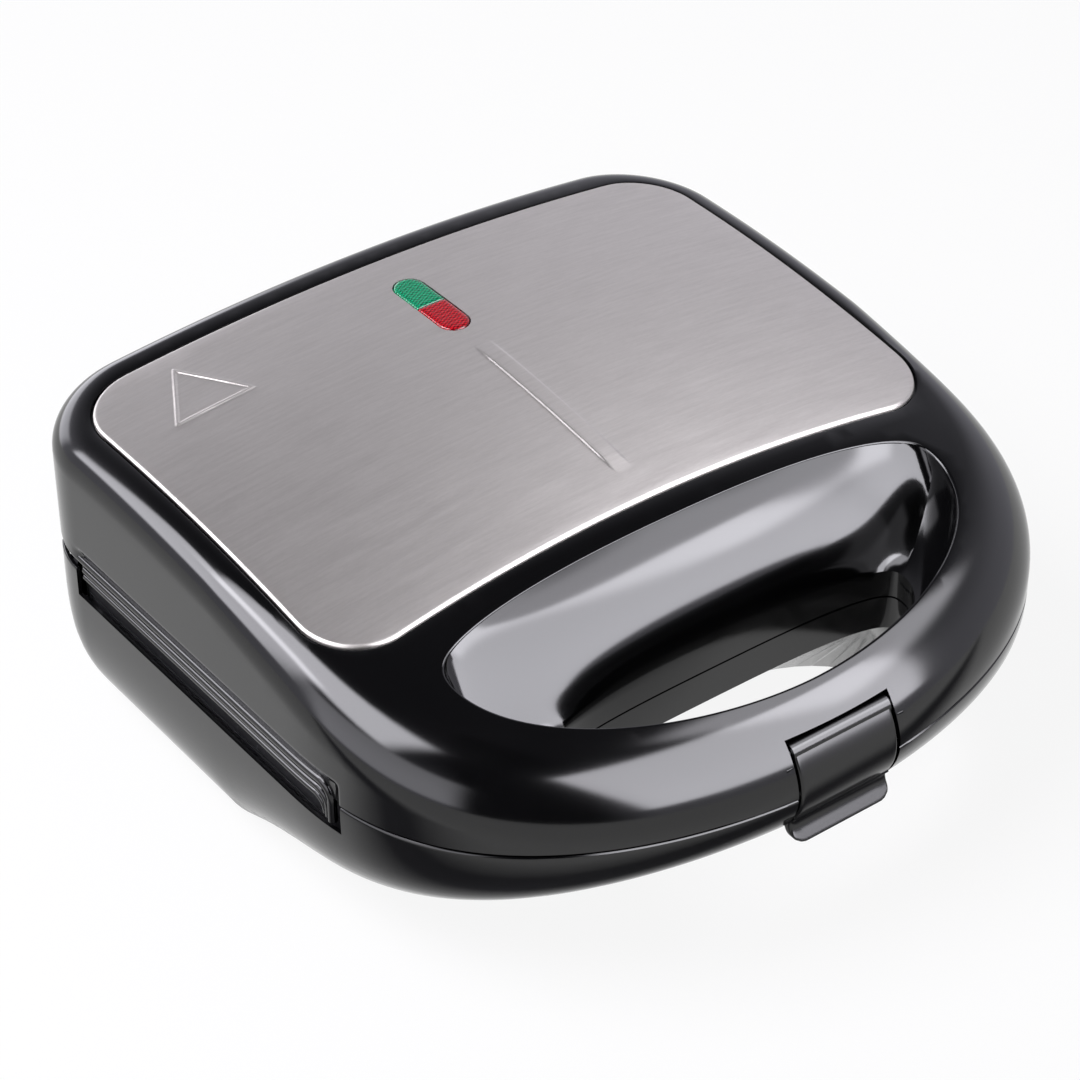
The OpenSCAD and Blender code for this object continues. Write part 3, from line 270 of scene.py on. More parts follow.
def applyModifiers(piece):
    depsgraph = bpy.context.evaluated_depsgraph_get()
    done = bpy.data.meshes.new_from_object(piece.evaluated_get(depsgraph))
    piece.modifiers.clear()
    old = piece.data
    piece.data = done
    bpy.data.meshes.remove(old)


def ringFaces(rings, count, wanted=lambda r, a, b: True):
    # quads between neighbouring rings of equal length
    pairs = [(k, (k + 1) % count) for k in range(count)]
    return [(r * count + a, r * count + b, (r + 1) * count + b, (r + 1) * count + a)
            for r in range(rings - 1) for a, b in pairs if wanted(r, a, b)]


def ringMesh(name, rings):
    return meshFrom(name, [p for ring in rings for p in ring], ringFaces(len(rings), len(rings[0])))


def addLoft(name, rings):
    # closed solid through rings of equal length, capped by a fan at both ends
    count = len(rings[0])
    points = [p for ring in rings for p in ring]
    faces = ringFaces(len(rings), count)
    for ring, start in ((rings[0], 0), (rings[-1], (len(rings) - 1) * count)):
        tip = len(points)
        points.append(tuple(sum(p[i] for p in ring) / count for i in range(3)))
        faces += [(start + k, start + (k + 1) % count, tip) for k in range(count)]
    return addPiece(name, tidyMesh(meshFrom(name, points, faces), weld["loft"]))


def carve(piece, cutter, how="DIFFERENCE"):
    cut = piece.modifiers.new("cut", "BOOLEAN")
    cut.operation = how
    cut.solver = "MANIFOLD"
    cut.object = cutter
    applyModifiers(piece)
    bpy.data.objects.remove(cutter)


def joinMeshes(name, meshes):
    work = bmesh.new()
    for mesh in meshes:
        work.from_mesh(mesh)
    return bakeMesh(work, bpy.data.meshes.new(name))


def boxMesh(name, low, high, bevel=0.0):
    work = bmesh.new()
    bmesh.ops.create_cube(work, size=1)
    for v in work.verts:
        v.co = Vector([(low[i] + high[i]) / 2 + v.co[i] * (high[i] - low[i]) for i in range(3)]) * mm
    if bevel:
        bmesh.ops.bevel(work, geom=list(work.edges), offset=bevel * mm, segments=3, affect="EDGES")
    return bakeMesh(work, bpy.data.meshes.new(name))


def carveBox(piece, low, high):
    carve(piece, addPiece("cutter", boxMesh("cutter", low, high)))


def rodMesh(name, start, end, radius, sides=48):
    work = bmesh.new()
    axis = (Vector(end) - Vector(start)) * mm
    bmesh.ops.create_cone(work, segments=sides, radius1=radius * mm, radius2=radius * mm, depth=axis.length,
                          cap_ends=True)
    turn = axis.to_track_quat("Z", "Y").to_matrix().to_4x4()
    middle = (Vector(start) + Vector(end)) / 2 * mm
    for v in work.verts:
        v.co = turn @ v.co + middle
    return bakeMesh(work, bpy.data.meshes.new(name))


def insideLoop(p, loop):
    hit = False
    x, y = p
    for k in range(len(loop)):
        x1, y1 = loop[k - 1]
        x2, y2 = loop[k]
        if (y1 > y) != (y2 > y) and x < (x2 - x1) * (y - y1) / (y2 - y1) + x1:
            hit = not hit
    return hit


def insideAny(p, loops):
    return any(insideLoop(p, loop) for loop in loops)


def insideRegion(p, outer, holes):
    return insideLoop(p, outer) and not insideAny(p, holes)


def filledMesh(name, outer, holes, inner, height):
    # triangles inside outer and outside the holes, through the inner points
    points, edges = [], []
    for loop in [outer] + holes:
        start = len(points)
        points += [Vector(p) for p in loop]
        edges += [(start + k, start + (k + 1) % len(loop)) for k in range(len(loop))]
    points += [Vector(p) for p in inner]
    verts, _, faces, _, _, _ = delaunay_2d_cdt(points, edges, [], 0, 1e-6)

    def middle(face):
        return [sum(verts[i][axis] for i in face) / len(face) for axis in (0, 1)]

    faces = [tuple(f) for f in faces if insideRegion(middle(f), outer, holes)]
    return meshFrom(name, [(v.x, v.y, height(v.x, v.y)) for v in verts], faces)


def gridInside(outer, holes, step, gap, rowShare=0.87):
    # staggered points, all at least the gap away from every outline
    xs, ys = [p[0] for p in outer], [p[1] for p in outer]
    cells = {}
    for p in [p for loop in [outer] + holes for p in loop]:
        cells.setdefault((int(p[0] // gap), int(p[1] // gap)), []).append(p)

    def isClear(x, y):
        cx, cy = int(x // gap), int(y // gap)
        return not any((q[0] - x) ** 2 + (q[1] - y) ** 2 < gap * gap
                       for i in (-1, 0, 1) for j in (-1, 0, 1) for q in cells.get((cx + i, cy + j), ()))

    found = []
    row, y = 0, min(ys) + step / 2
    while y < max(ys):
        x = min(xs) + (step / 2 if row % 2 else step)
        while x < max(xs):
            if isClear(x, y) and insideRegion((x, y), outer, holes):
                found.append((x, y))
            x += step
        y += step * rowShare
        row += 1
    return found


# the scoop in front of the cover, and the hand hole at its bottom
scoop = {
    "halfWidth": 83.5, "y": -53.4, "rear": 15.0, "front": 46.0, "rearPower": 3, "frontPower": 1.9,
    "holeHalfWidth": 60.0, "holeY": -68.4, "holeRear": 9.0, "holeFront": 28.0,
    "lipHeight": 9.0, "rimRound": 1.1, "rimSharper": 0.8, "startTurn": 24.0, "steps": 150, "wallSteps": 22,
    "blendPower": 0.7, "clear": 1.2, "rimTurns": (0, 22, 45, 68, 90), "holeRows": (6.0, 3.0, 0.8),
}


def deePoint(angle, half, rear, front, y):
    s = sin(angle)
    power = scoop["rearPower"] if s > 0 else scoop["frontPower"]
    return (half * signedPower(cos(angle), 2 / power),
            y + (rear if s > 0 else front) * signedPower(s, 2 / power))


def scoopPoint(angle, grow):
    return deePoint(angle, scoop["halfWidth"] + grow, scoop["rear"] + grow, scoop["front"] + grow, scoop["y"])


def holePoint(angle, grow):
    return deePoint(angle, scoop["holeHalfWidth"] + grow, scoop["holeRear"] + grow,
                    scoop["holeFront"] + grow, scoop["holeY"])


def rearWallShare(angle):
    # 1 in the middle of the rounded rear wall, falling to 0 at the ends and on the handle side
    return max(0.0, sin(angle)) ** scoop["blendPower"]


def scoopAngles():
    # even steps, closer where the rear wall meets the bowls
    whole = 2 * pi
    angles = [whole * k / scoop["steps"] for k in range(scoop["steps"])]
    angles += [middle + 0.01 * k for middle in (0.0, pi) for k in range(-6, 7)]
    return thinned([a % whole for a in angles], 0.004)


# the steel cover: outline, turned edge and rib
coverPlate = {
    "halfWidth": 105.0, "rearY": 100.6, "frontY": -29.9, "bow": 4.5, "radius": 19.0,
    "gap": 0.7, "lift": 0.5, "sink": 1.3, "fold": 1.1, "foldDrop": 0.85, "edgeDepth": 0.9, "underDepth": 0.45,
    "ribHalfWidth": 3.3, "ribRearY": 49.0, "ribFrontY": -20.0, "ribHeight": 0.42, "ribSlope": 1.1,
    "ribFade": 10.0, "ribRows": (0.0, 1.0, 2.1, 2.35, 2.6, 2.85, 3.1, 3.35, 4.2), "ribSteps": 48,
    "ribClearX": 5.5, "ribClearY": 9, "step": 2.5, "recessRound": 0.5, "recessClear": 1.4,
    # pairs of outward growth and drop down the recess's step; turns and inward rows of the sheet's edge
    "recessSteps": ((0.15, 0.1), (0.0, 0.45)), "foldTurns": (0, 18, 36, 54, 72, 90),
    "hemIn": (1.2, 1.5),
}


def coverFront(x):
    return coverPlate["frontY"] - coverPlate["bow"] * (x / coverPlate["halfWidth"]) ** 2


def coverOutline(grow, step=3.0, cornerSteps=14):
    half, r = coverPlate["halfWidth"] + grow, coverPlate["radius"] + grow
    back, cx = coverPlate["rearY"] + grow, coverPlate["halfWidth"] - coverPlate["radius"]
    front = coverFront(cx) - grow
    turns = [pi / 2 * k / cornerSteps for k in range(cornerSteps + 1)]
    count = int(2 * cx / step)
    across = [cx * (1 - 2 * k / count) for k in range(1, count)]
    run = back - r - (front + r)
    side = int(run / step)
    along = [run * k / side for k in range(1, side)]
    loop = [(cx + r * cos(a), back - r + r * sin(a)) for a in turns]
    loop += [(x, back) for x in across]
    loop += [(-cx - r * sin(a), back - r + r * cos(a)) for a in turns]
    loop += [(-half, back - r - y) for y in along]
    loop += [(-cx - r * cos(a), front + r - r * sin(a)) for a in turns]
    loop += [(-x, coverFront(x) - grow) for x in across]
    loop += [(cx + r * sin(a), front + r - r * cos(a)) for a in turns]
    return loop + [(half, front + r + y) for y in along]


# both lenses together make one pill
lensSet = {
    "length": 31.0, "width": 9.6, "y": 71.6, "proud": 0.7, "sunk": 0.35, "depth": 2.2, "edgeRadius": 1.1,
    "halfGap": 0.12, "bunching": 1.25, "ridgeHeight": 0.04, "ridgePitch": 1.55, "across": 14, "along": 90,
    "leastWide": 0.02, "lampRoom": 0.4, "coverRoom": 0.35,
}


def pillOutline(grow, steps=16, sideSteps=12):
    r, y = lensSet["width"] / 2 + grow, lensSet["y"]
    run = lensSet["length"] / 2 - lensSet["width"] / 2
    turns = [pi * k / steps for k in range(steps + 1)]
    sides = [run * (1 - 2 * k / sideSteps) for k in range(1, sideSteps)]
    loop = [(r * cos(t), y + run + r * sin(t)) for t in turns]
    loop += [(-r, y + s) for s in sides]
    loop += [(-r * cos(t), y - run - r * sin(t)) for t in turns]
    return loop + [(r, y - s) for s in sides]


# the slot in the handle that the latch clip lies in
latchSlot = {
    "halfWidth": 17.7, "topZ": 68.1, "rearY": -103.7, "catchY": -107.6, "cheek": 2.6, "bevel": 0.2,
    "cheekFront": 3.4, "cheekTop": 6, "shoulderFront": 8.5, "shoulderLow": 9, "backThick": 1.8,
    "roofFront": 9.8, "roofThick": 1.4, "cutFront": 9, "cutLow": 12, "baseCutLow": 18,
}
# rows above the parting line on the lid's wall, and how the wall steps in beside the beads
lidWall = {
    "levels": [-1.0, 1.5, 3, 4.6, 6, 6.6, 7.2, 7.8, 8.4, 9, 11, 14, 18, 23, 28, 33],
    "rimSoft": 0.3, "edgeTurns": 19, "stepIn": 1.0, "stepTop": 8.5, "stepBlend": 2.5, "fade": 3,
    "fadeFront": 3.5, "fadeRear": 2,
}


def wallInset(y, z):
    # the side wall steps in a little above the parting line, where the beads lie
    front, rear = case["skirtFrontY"] - lidWall["fadeFront"], case["skirtRearY"] + lidWall["fadeRear"]
    if y < front or y > rear:
        return 0.0
    fade = smooth((y - front) / lidWall["fade"]) * smooth((rear - y) / lidWall["fade"])
    return lidWall["stepIn"] * smooth((lidWall["stepTop"] - (z - partZ)) / lidWall["stepBlend"]) * fade


def lidBottom(y):
    if y < case["skirtFrontY"]:
        return partZ + case["partGap"]
    return partZ - case["skirtDrop"] if y < case["skirtRearY"] else partZ + case["rearLift"]


def lidOuter(stations, mouth, recess, keepOff):
    # wall and rounded edge as rings, then the top between the edge, the scoop and the recess
    rim = [s(0) for s in stations]
    count = len(rim)
    bottoms = [lidBottom(y) for _, y in rim]
    tops = [max(bottoms[k] + 0.02, crown(*rim[k]) - edgeDown(rim[k][1])) for k in range(count)]
    soft = lidWall["rimSoft"]
    rings = []
    for row, level in enumerate([0.0, soft] + lidWall["levels"]):
        ring = []
        for k, station in enumerate(stations):
            z = bottoms[k] + level if row < 2 else max(bottoms[k] + soft, partZ + level)
            z = min(z, tops[k])
            x, y = station((0.0 if row else soft) + wallInset(rim[k][1], z))
            ring.append((x, y, z))
        rings.append(ring)
    first = len(rings)
    for step in range(lidWall["edgeTurns"]):
        t = radians(90 * step / (lidWall["edgeTurns"] - 1))
        ring = []
        for k, station in enumerate(stations):
            y0 = rim[k][1]
            x, y = station(edgeIn(y0) * (1 - cos(t)))
            ring.append((x, y, max(tops[k], crown(x, y) - edgeDown(y0) * (1 - sin(t)))))
        rings.append(ring)
    # each station's rings stop short of the scoop and of the cover's recess
    limits = []
    for k in range(count):
        last = first
        while last + 1 < len(rings) and not insideAny(rings[last + 1][k][:2], keepOff):
            last += 1
        limits.append(last)
    for _ in range(3):
        limits = [min(limits[k], max(limits[k - 1], limits[(k + 1) % count])) for k in range(count)]
    faces = ringFaces(len(rings), count, lambda r, a, b: r < min(limits[a], limits[b]))
    wall = meshFrom("lidWall", [p for ring in rings for p in ring], faces)
    outer = []
    for k in range(count):
        before, after = limits[k - 1], limits[(k + 1) % count]
        climb = list(range(min(before, limits[k]), limits[k])) + [limits[k]]
        fall = list(range(limits[k] - 1, min(after, limits[k]) - 1, -1))
        outer += [rings[r][k][:2] for r in climb + fall]
    spare = [rings[r][k][:2] for k in range(count) for r in range(limits[k] + 1, len(rings))]
    spare = [p for p in spare if not insideAny(p, keepOff)]
    inner = [p for p in gridInside(outer, [mouth, recess], step=4.0, gap=2.0)
             if insideInset(p[0], p[1], edgeIn(p[1]) + 1)]
    return [wall, filledMesh("lidTop", outer, [mouth, recess], inner + spare, topHeight)]


def lidScoop(angles, soft):
    # rolled rim, then a rounded rear wall that meets two bowls, then the hand hole's wall
    rows = []
    for turn in scoop["rimTurns"]:
        t = radians(turn)
        row = []
        for k, a in enumerate(angles):
            x, y = scoopPoint(a, soft[k] * (1 - sin(t)))
            row.append((x, y, topHeight(x, y) - soft[k] * (1 - cos(t))))
        rows.append(row)
    startTurn = radians(scoop["startTurn"])
    for step in range(1, scoop["wallSteps"] + 1):
        s = step / scoop["wallSteps"]
        turn, share = mix(startTurn, pi / 2, s), pi / 2 * s
        wallIn = (sin(turn) - sin(startTurn)) / (1 - sin(startTurn))
        wallDown = (cos(startTurn) - cos(turn)) / cos(startTurn)
        row = []
        for k, a in enumerate(angles):
            w = rearWallShare(a)
            inShare = mix(1 - cos(share), wallIn, w)
            downShare = mix(sin(share), wallDown, w)
            edge, low = scoopPoint(a, 0), holePoint(a, 0)
            row.append((mix(edge[0], low[0], inShare), mix(edge[1], low[1], inShare),
                        mix(topHeight(*edge) - soft[k], partZ + scoop["lipHeight"], downShare)))
        rows.append(row)
    for z in (*scoop["holeRows"], case["partGap"]):
        rows.append([(p[0], p[1], partZ + z) for p in rows[-1]])
    return ringMesh("lidScoop", rows)


def lidRecess():
    # step and floor under the cover, with the opening for the lamps
    sink = coverPlate["sink"]
    steps = [(coverPlate["recessRound"], 0.0), *coverPlate["recessSteps"], (0.0, sink)]
    rows = [[(x, y, crown(x, y) - drop) for x, y in coverOutline(coverPlate["gap"] + grow)]
            for grow, drop in steps]
    edge = [p[:2] for p in rows[-1]]
    pill = pillOutline(lensSet["lampRoom"])
    floor = filledMesh("lidRecessFloor", edge, [pill], gridInside(edge, [pill], step=9.0, gap=5.0),
                       lambda x, y: crown(x, y) - sink)
    return [ringMesh("lidRecess", rows), floor]


def makeLidShell():
    marks = [case["skirtFrontY"] + 0.6 * k for k in range(-8, 16)]
    stations = outlineStations(1.5, marks + [case["slotFrontY"]], [latchSlot["halfWidth"]])
    angles = scoopAngles()
    soft = [scoop["rimRound"] * (1 - scoop["rimSharper"] * rearWallShare(a)) for a in angles]
    mouth, wider = [[scoopPoint(a, soft[k] + more) for k, a in enumerate(angles)]
                    for more in (0, scoop["clear"])]
    recess, clear = [coverOutline(coverPlate["gap"] + coverPlate[key])
                     for key in ("recessRound", "recessClear")]
    outer = lidOuter(stations, mouth, recess, [wider, clear])
    mesh = tidyMesh(joinMeshes("lidShell", outer + [lidScoop(angles, soft)] + lidRecess()), weld["shell"])
    work = bmesh.new()
    work.from_mesh(mesh)
    # outward is up on the flat top
    if max(work.faces, key=lambda f: f.calc_center_median().z).normal.z < 0:
        bmesh.ops.reverse_faces(work, faces=work.faces)
    piece = addPiece("lidShell", bakeMesh(work, mesh))
    skin = piece.modifiers.new("wall", "SOLIDIFY")
    skin.thickness = case["wall"] * mm
    skin.offset = -1
    applyModifiers(piece)
    half = latchSlot["halfWidth"]
    carveBox(piece, (-half, frontY - latchSlot["cutFront"], partZ - latchSlot["cutLow"]),
             (half, latchSlot["rearY"], latchSlot["topZ"]))
    return piece


def makeSlotLiner():
    # the pocket behind the latch, inside the handle
    s = latchSlot
    half, wide = s["halfWidth"], s["halfWidth"] + s["cheek"]
    rear, top, low = s["rearY"], s["topZ"], partZ + case["partGap"]
    parts = []
    for x0, x1 in ((-wide, -half), (half, wide)):
        parts.append(((x0, frontY + s["cheekFront"], low), (x1, rear, top - s["cheekTop"])))
        parts.append(((x0, frontY + s["shoulderFront"], top - s["shoulderLow"]), (x1, rear, top + 0.5)))
    parts.append(((-wide, rear, low), (wide, rear + s["backThick"], top + 1)))
    parts.append(((-wide, frontY + s["roofFront"], top), (wide, rear + s["backThick"], top + s["roofThick"])))
    meshes = [boxMesh("linerPart", low, high, s["bevel"]) for low, high in parts]
    return addPiece("lidSlotLiner", joinMeshes("lidSlotLiner", meshes))


lidShell = makeLidShell()
print("lid shell", len(lidShell.data.polygons))
slotLiner = makeSlotLiner()

# the raised triangle on the cover, with its apex towards the hinge
hotSpot = {
    "x": -75.0, "y": 79.2, "drop": 1.6, "side": 25.0, "line": 0.55, "height": 0.3, "reach": 1.35,
    "clear": 19, "spacing": 0.6, "rows": (-1.0, -0.7, -0.45, -0.2, 0.0, 0.2, 0.45, 0.7, 1.0),
}


def triangleCorners(grow=0.0):
    r = hotSpot["side"] / sqrt(3) + 2 * grow
    turns = [radians(90 + 120 * k) for k in range(3)]
    return [(hotSpot["x"] + r * cos(t), hotSpot["y"] - hotSpot["drop"] + r * sin(t)) for t in turns]


def segmentDistance(p, a, b):
    ax, ay = b[0] - a[0], b[1] - a[1]
    t = clamp(((p[0] - a[0]) * ax + (p[1] - a[1]) * ay) / (ax * ax + ay * ay))
    return hypot(p[0] - a[0] - ax * t, p[1] - a[1] - ay * t)


ribRear = coverPlate["ribRearY"] - coverPlate["ribHalfWidth"]
ribFront = coverPlate["ribFrontY"] + coverPlate["ribHalfWidth"]


def coverEmboss(x, y):
    rib = segmentDistance((x, y), (0, ribRear), (0, ribFront))
    lift = coverPlate["ribHeight"] * smooth((coverPlate["ribHalfWidth"] - rib) / coverPlate["ribSlope"])
    lift *= smooth(min(y - coverPlate["ribFrontY"], coverPlate["ribRearY"] - y) / coverPlate["ribFade"])
    corners = triangleCorners()
    near = min(segmentDistance((x, y), corners[k - 1], corners[k]) for k in range(3))
    return max(lift, hotSpot["height"] * smooth(hotSpot["reach"] - near / hotSpot["line"]))


def coverTop(x, y):
    return crown(x, y) + coverPlate["lift"] + coverEmboss(x, y)


def coverUnder(x, y):
    return crown(x, y) - coverPlate["underDepth"]


def offsetTriangle(grow):
    corners = triangleCorners(grow)
    loop = []
    for a, b in zip(corners[-1:] + corners, corners):
        count = int(math.dist(a, b) / hotSpot["spacing"])
        loop += [(mix(a[0], b[0], i / count), mix(a[1], b[1], i / count)) for i in range(count)]
    return loop


def embossPoints():
    # rows along the rib and its round ends, and along the triangle's lines
    detail = []
    along = [ribFront + (ribRear - ribFront) * k / coverPlate["ribSteps"]
             for k in range(coverPlate["ribSteps"] + 1)]
    for r in coverPlate["ribRows"]:
        detail += [(x, y) for x in sorted({-r, r}) for y in along]
        steps = max(6, int(r * 5)) if r else 0
        for a in [pi * k / steps for k in range(1, steps)]:
            x, y = r * cos(a), r * sin(a)
            detail += [(x, ribRear + y), (x, ribFront - y)]
    for grow in hotSpot["rows"]:
        detail += offsetTriangle(grow)
    return detail


def makeCover():
    fold, lift, depth, step = [coverPlate[key] for key in ("fold", "lift", "edgeDepth", "step")]
    wide, long = coverPlate["ribClearX"], coverPlate["ribClearY"]
    edge = coverOutline(-fold, step)
    pill = pillOutline(lensSet["coverRoom"])
    inner = [p for p in gridInside(edge, [pill], step=4.0, gap=2.2)
             if (abs(p[0]) > wide or not ribFront - long < p[1] < ribRear + long)
             and math.dist(p, (hotSpot["x"], hotSpot["y"])) > hotSpot["clear"]]
    top = filledMesh("coverTop", edge, [pill], inner + embossPoints(), coverTop)
    # turned edge, then the underside
    rows = []
    for turn in coverPlate["foldTurns"]:
        t = radians(turn)
        drop = coverPlate["foldDrop"] * (1 - cos(t))
        loop = coverOutline(-fold * (1 - sin(t)), step)
        rows.append([(x, y, crown(x, y) + lift - drop) for x, y in loop])
    hem, end = coverPlate["hemIn"]
    for inward, low in ((0, depth), (hem, depth), (end, coverPlate["underDepth"])):
        loop = coverOutline(-inward, step)
        rows.append([(x, y, crown(x, y) - low) for x, y in loop])
    side = ringMesh("coverEdge", rows)
    under = filledMesh("coverUnder", loop, [pill], gridInside(loop, [pill], step=10.0, gap=6.0), coverUnder)
    lip = ringMesh("coverLip", [[(x, y, height(x, y)) for x, y in pill] for height in (coverTop, coverUnder)])
    mesh = tidyMesh(joinMeshes("steelCover", [top, side, under, lip]), weld["shell"])
    return addShaded("steelCover", mesh, "folded")


steelCover = makeCover()
print("steel cover", len(steelCover.data.polygons))


def makeLens(name, half):
    # half 1 is towards the hinge, -1 towards the handle
    s = lensSet
    r, run = s["width"] / 2, s["length"] / 2 - s["width"] / 2
    rows = []
    for k in range(s["along"] + 1):
        spread = 1 - (1 - k / s["along"]) ** s["bunching"]
        dist = s["halfGap"] + (s["length"] / 2 - s["halfGap"]) * spread
        over = max(0.0, dist - run)
        wide = max(sqrt(max(0.0, r * r - over * over)), s["leastWide"])
        ripple = s["ridgeHeight"] * (0.5 + 0.5 * cos(2 * pi * dist / s["ridgePitch"]))
        row = []
        for i in range(s["across"] + 1):
            x, y = wide * sin((2 * i / s["across"] - 1) * pi / 2), s["y"] + half * dist
            edge = clamp(min(r - hypot(x, over), dist) / s["edgeRadius"])
            dome = s["proud"] * sqrt(1 - (1 - edge) ** 2)
            row.append((x, y, crown(x, y) + coverPlate["lift"] - s["sunk"] + dome + edge * ripple))
        rows.append(row)
    n = s["across"] + 1
    faces = [(a, a + 1, a + n + 1, a + n) for k in range(s["along"]) for a in range(k * n, k * n + n - 1)]
    mesh = meshFrom(name, [p for row in rows for p in row], faces)
    tidyMesh(mesh, weld["fine"], False)
    work = bmesh.new()
    work.from_mesh(mesh)
    if sum(f.normal.z for f in work.faces) < 0:
        bmesh.ops.reverse_faces(work, faces=work.faces)
    # drawn down into the cover's opening
    out = bmesh.ops.extrude_edge_only(work, edges=[e for e in work.edges if e.is_boundary])
    for v in out["geom"]:
        if isinstance(v, bmesh.types.BMVert):
            v.co.z -= s["depth"] * mm
    bmesh.ops.contextual_create(work, geom=[e for e in out["geom"] if isinstance(e, bmesh.types.BMEdge)])
    bmesh.ops.recalc_face_normals(work, faces=work.faces)
    return addShaded(name, bakeMesh(work, mesh), "lens")


lensGreen = makeLens("lensGreen", 1)
lensRed = makeLens("lensRed", -1)
print("lenses made")

# the clip follows the handle's front; lip and tip are measured from there and the parting line
latchShape = {
    "halfWidth": 16.7, "lipHalfWidth": 17.0, "thick": 2.5, "sunk": 0.6, "topTurn": 40, "crease": 11.0,
    "lip": (4.2, -13.2), "tip": (1.5, -17.6), "cornerRadius": 4.2, "edgeRadius": 1.0, "endRound": 0.8,
    "topRadius": 0.7, "spacing": 0.35, "softening": 5, "cornerShare": 0.4, "edgeBand": 0.06,
    "edgeColumns": 8, "columns": 24, "topSteps": 48, "creaseSteps": 22,
    "pinY": -108.4, "pinHeight": 11.0, "bossRadius": 3.2, "hookGap": 0.6, "hookDrop": 8.0, "hookDeep": 4.5,
    "hookTall": 2.0,
}


def latchProfile():
    sunk = latchShape["sunk"]
    line = []
    for k in range(latchShape["topSteps"] + 1):
        t = radians(latchShape["topTurn"] * (1 - k / latchShape["topSteps"]))
        y = frontY + edgeIn(frontY) * (1 - cos(t))
        line.append((y + sunk, max(partZ, crown(0, y) - edgeDown(frontY) * (1 - sin(t)))))
    for k in range(1, latchShape["creaseSteps"] + 1):
        d = latchShape["crease"] * k / latchShape["creaseSteps"]
        line.append((frontY + tuck(frontY, d) + sunk, partZ - d))
    line += [(frontY + y, partZ + z) for y, z in (latchShape["lip"], latchShape["tip"])]
    # resampled and softened, so that the crease is a rounded valley
    fine = []
    for a, b in zip(line, line[1:]):
        steps = max(1, int(math.dist(a, b) / latchShape["spacing"]))
        fine += [(mix(a[0], b[0], i / steps), mix(a[1], b[1], i / steps)) for i in range(steps)]
    fine.append(line[-1])
    for _ in range(latchShape["softening"]):
        inner = [tuple((p[i] + 2 * q[i] + r[i]) / 4 for i in (0, 1))
                 for p, q, r in zip(fine, fine[1:], fine[2:])]
        fine = [fine[0]] + inner + [fine[-1]]
    return fine


def roundedPull(radius, inside):
    # how far a rounded edge falls back at a distance inside it
    return radius - sqrt(max(0.0, radius ** 2 - max(0.0, radius - inside) ** 2))


def makeLatch():
    s = latchShape
    line = latchProfile()
    n = len(line)
    lengths = [0.0]
    for a, b in zip(line, line[1:]):
        lengths.append(lengths[-1] + math.dist(a, b))
    total, cr = lengths[-1], s["cornerRadius"]
    start, tail = total * (1 - s["cornerShare"]), total * s["cornerShare"]
    band, edges, middles = s["edgeBand"], s["edgeColumns"], s["columns"]
    columns = [-1 + band * (1 - cos(radians(90 * k / edges))) for k in range(edges + 1)]
    columns += [(1 - band) * (2 * k / middles - 1) for k in range(1, middles)]
    columns += [-c for c in reversed(columns[:edges + 1])]
    front, back = [], []
    for c in columns:
        for k, (_, z) in enumerate(line):
            wide = mix(s["halfWidth"], s["lipHalfWidth"], smooth((partZ - s["crease"] - z) / 2))
            # rounded lower corners: the tip end pulls up towards the sides
            x = c * wide
            short = cr - sqrt(max(0.0, cr * cr - min(max(0.0, abs(x) - (wide - cr)), cr) ** 2))
            at = lengths[k]
            if at > start:
                at = start + (at - start) * (tail - short) / tail
            j = 0
            while j < n - 2 and lengths[j + 1] < at:
                j += 1
            f = clamp((at - lengths[j]) / (lengths[j + 1] - lengths[j]))
            yy, zz = mix(line[j][0], line[j + 1][0], f), mix(line[j][1], line[j + 1][1], f)
            pull = roundedPull(s["edgeRadius"], wide - abs(x))
            pull += roundedPull(s["edgeRadius"], total - short - at) * s["endRound"]
            pull += roundedPull(s["topRadius"], at)
            front.append((x, yy + pull, zz))
            back.append((x, yy + s["thick"], zz))
    shell = len(front)
    faces = []
    for c in range(len(columns) - 1):
        for a in range(c * n, c * n + n - 1):
            b, d = a + n, a + shell
            faces += [(a, b, b + 1, a + 1), (d, d + 1, d + n + 1, d + n)]
        for a in (c * n, c * n + n - 1):
            faces.append((a, a + n, a + n + shell, a + shell))
    for a in [c + k for k in range(n - 1) for c in (0, shell - n)]:
        faces.append((a, a + 1, a + 1 + shell, a + shell))
    clip = tidyMesh(meshFrom("latchClipFace", front + back, faces), weld["fine"])
    half, zPin = s["halfWidth"], partZ + s["pinHeight"]
    boss = rodMesh("latchBoss", (-half, s["pinY"], zPin), (half, s["pinY"], zPin), s["bossRadius"])
    catch, low = latchSlot["catchY"] - s["hookGap"], partZ - s["hookDrop"]
    hook = boxMesh("latchHook", (-half, catch - s["hookDeep"], low - s["hookTall"]), (half, catch, low), 0.3)
    return addShaded("latchClip", joinMeshes("latchClip", [clip, boss, hook]), "folded")


latchClip = makeLatch()
print("latch clip made")

# the base: rows of its wall, rounded foot and rim, hand hole and the openings at the hinge
baseSet = {
    "footZ": 2.5, "footRound": 0.9, "footRun": 1.1, "rimRound": 0.35, "rimRun": 0.5,
    "levels": [2.7, 3.1, 3.6, 4.5, 6, 8, 10.5, 13, 16, 19, 22, 25, 28, 31, 34, 36.5, 38.5, 41, 44, 47, 49.5,
               51.4, 51.9],
    "holeLevels": [-2, 2, 5, 8, 12, 17, 22, 27, 32, 37], "holeSteps": 180, "below": -3.0,
    "skin": 1.2, "holeFlareDrop": 11.0, "flareY": 1.06, "flareX": 0.45, "wallTop": 39.5,
    "skinTop": 43.0, "slotRearY": 84.5, "skinRearY": 99.0, "farSide": 130, "farTop": 70, "over": 60,
    "glandX": 50.0, "glandY": (95, 125), "glandZ": 20.0, "glandRadius": 6.4,
    "barrelHalf": 75.0, "armEnd": 88.0, "leadGap": (-9.0, 12.0), "notch": 3.0, "notchY": 105.6,
}


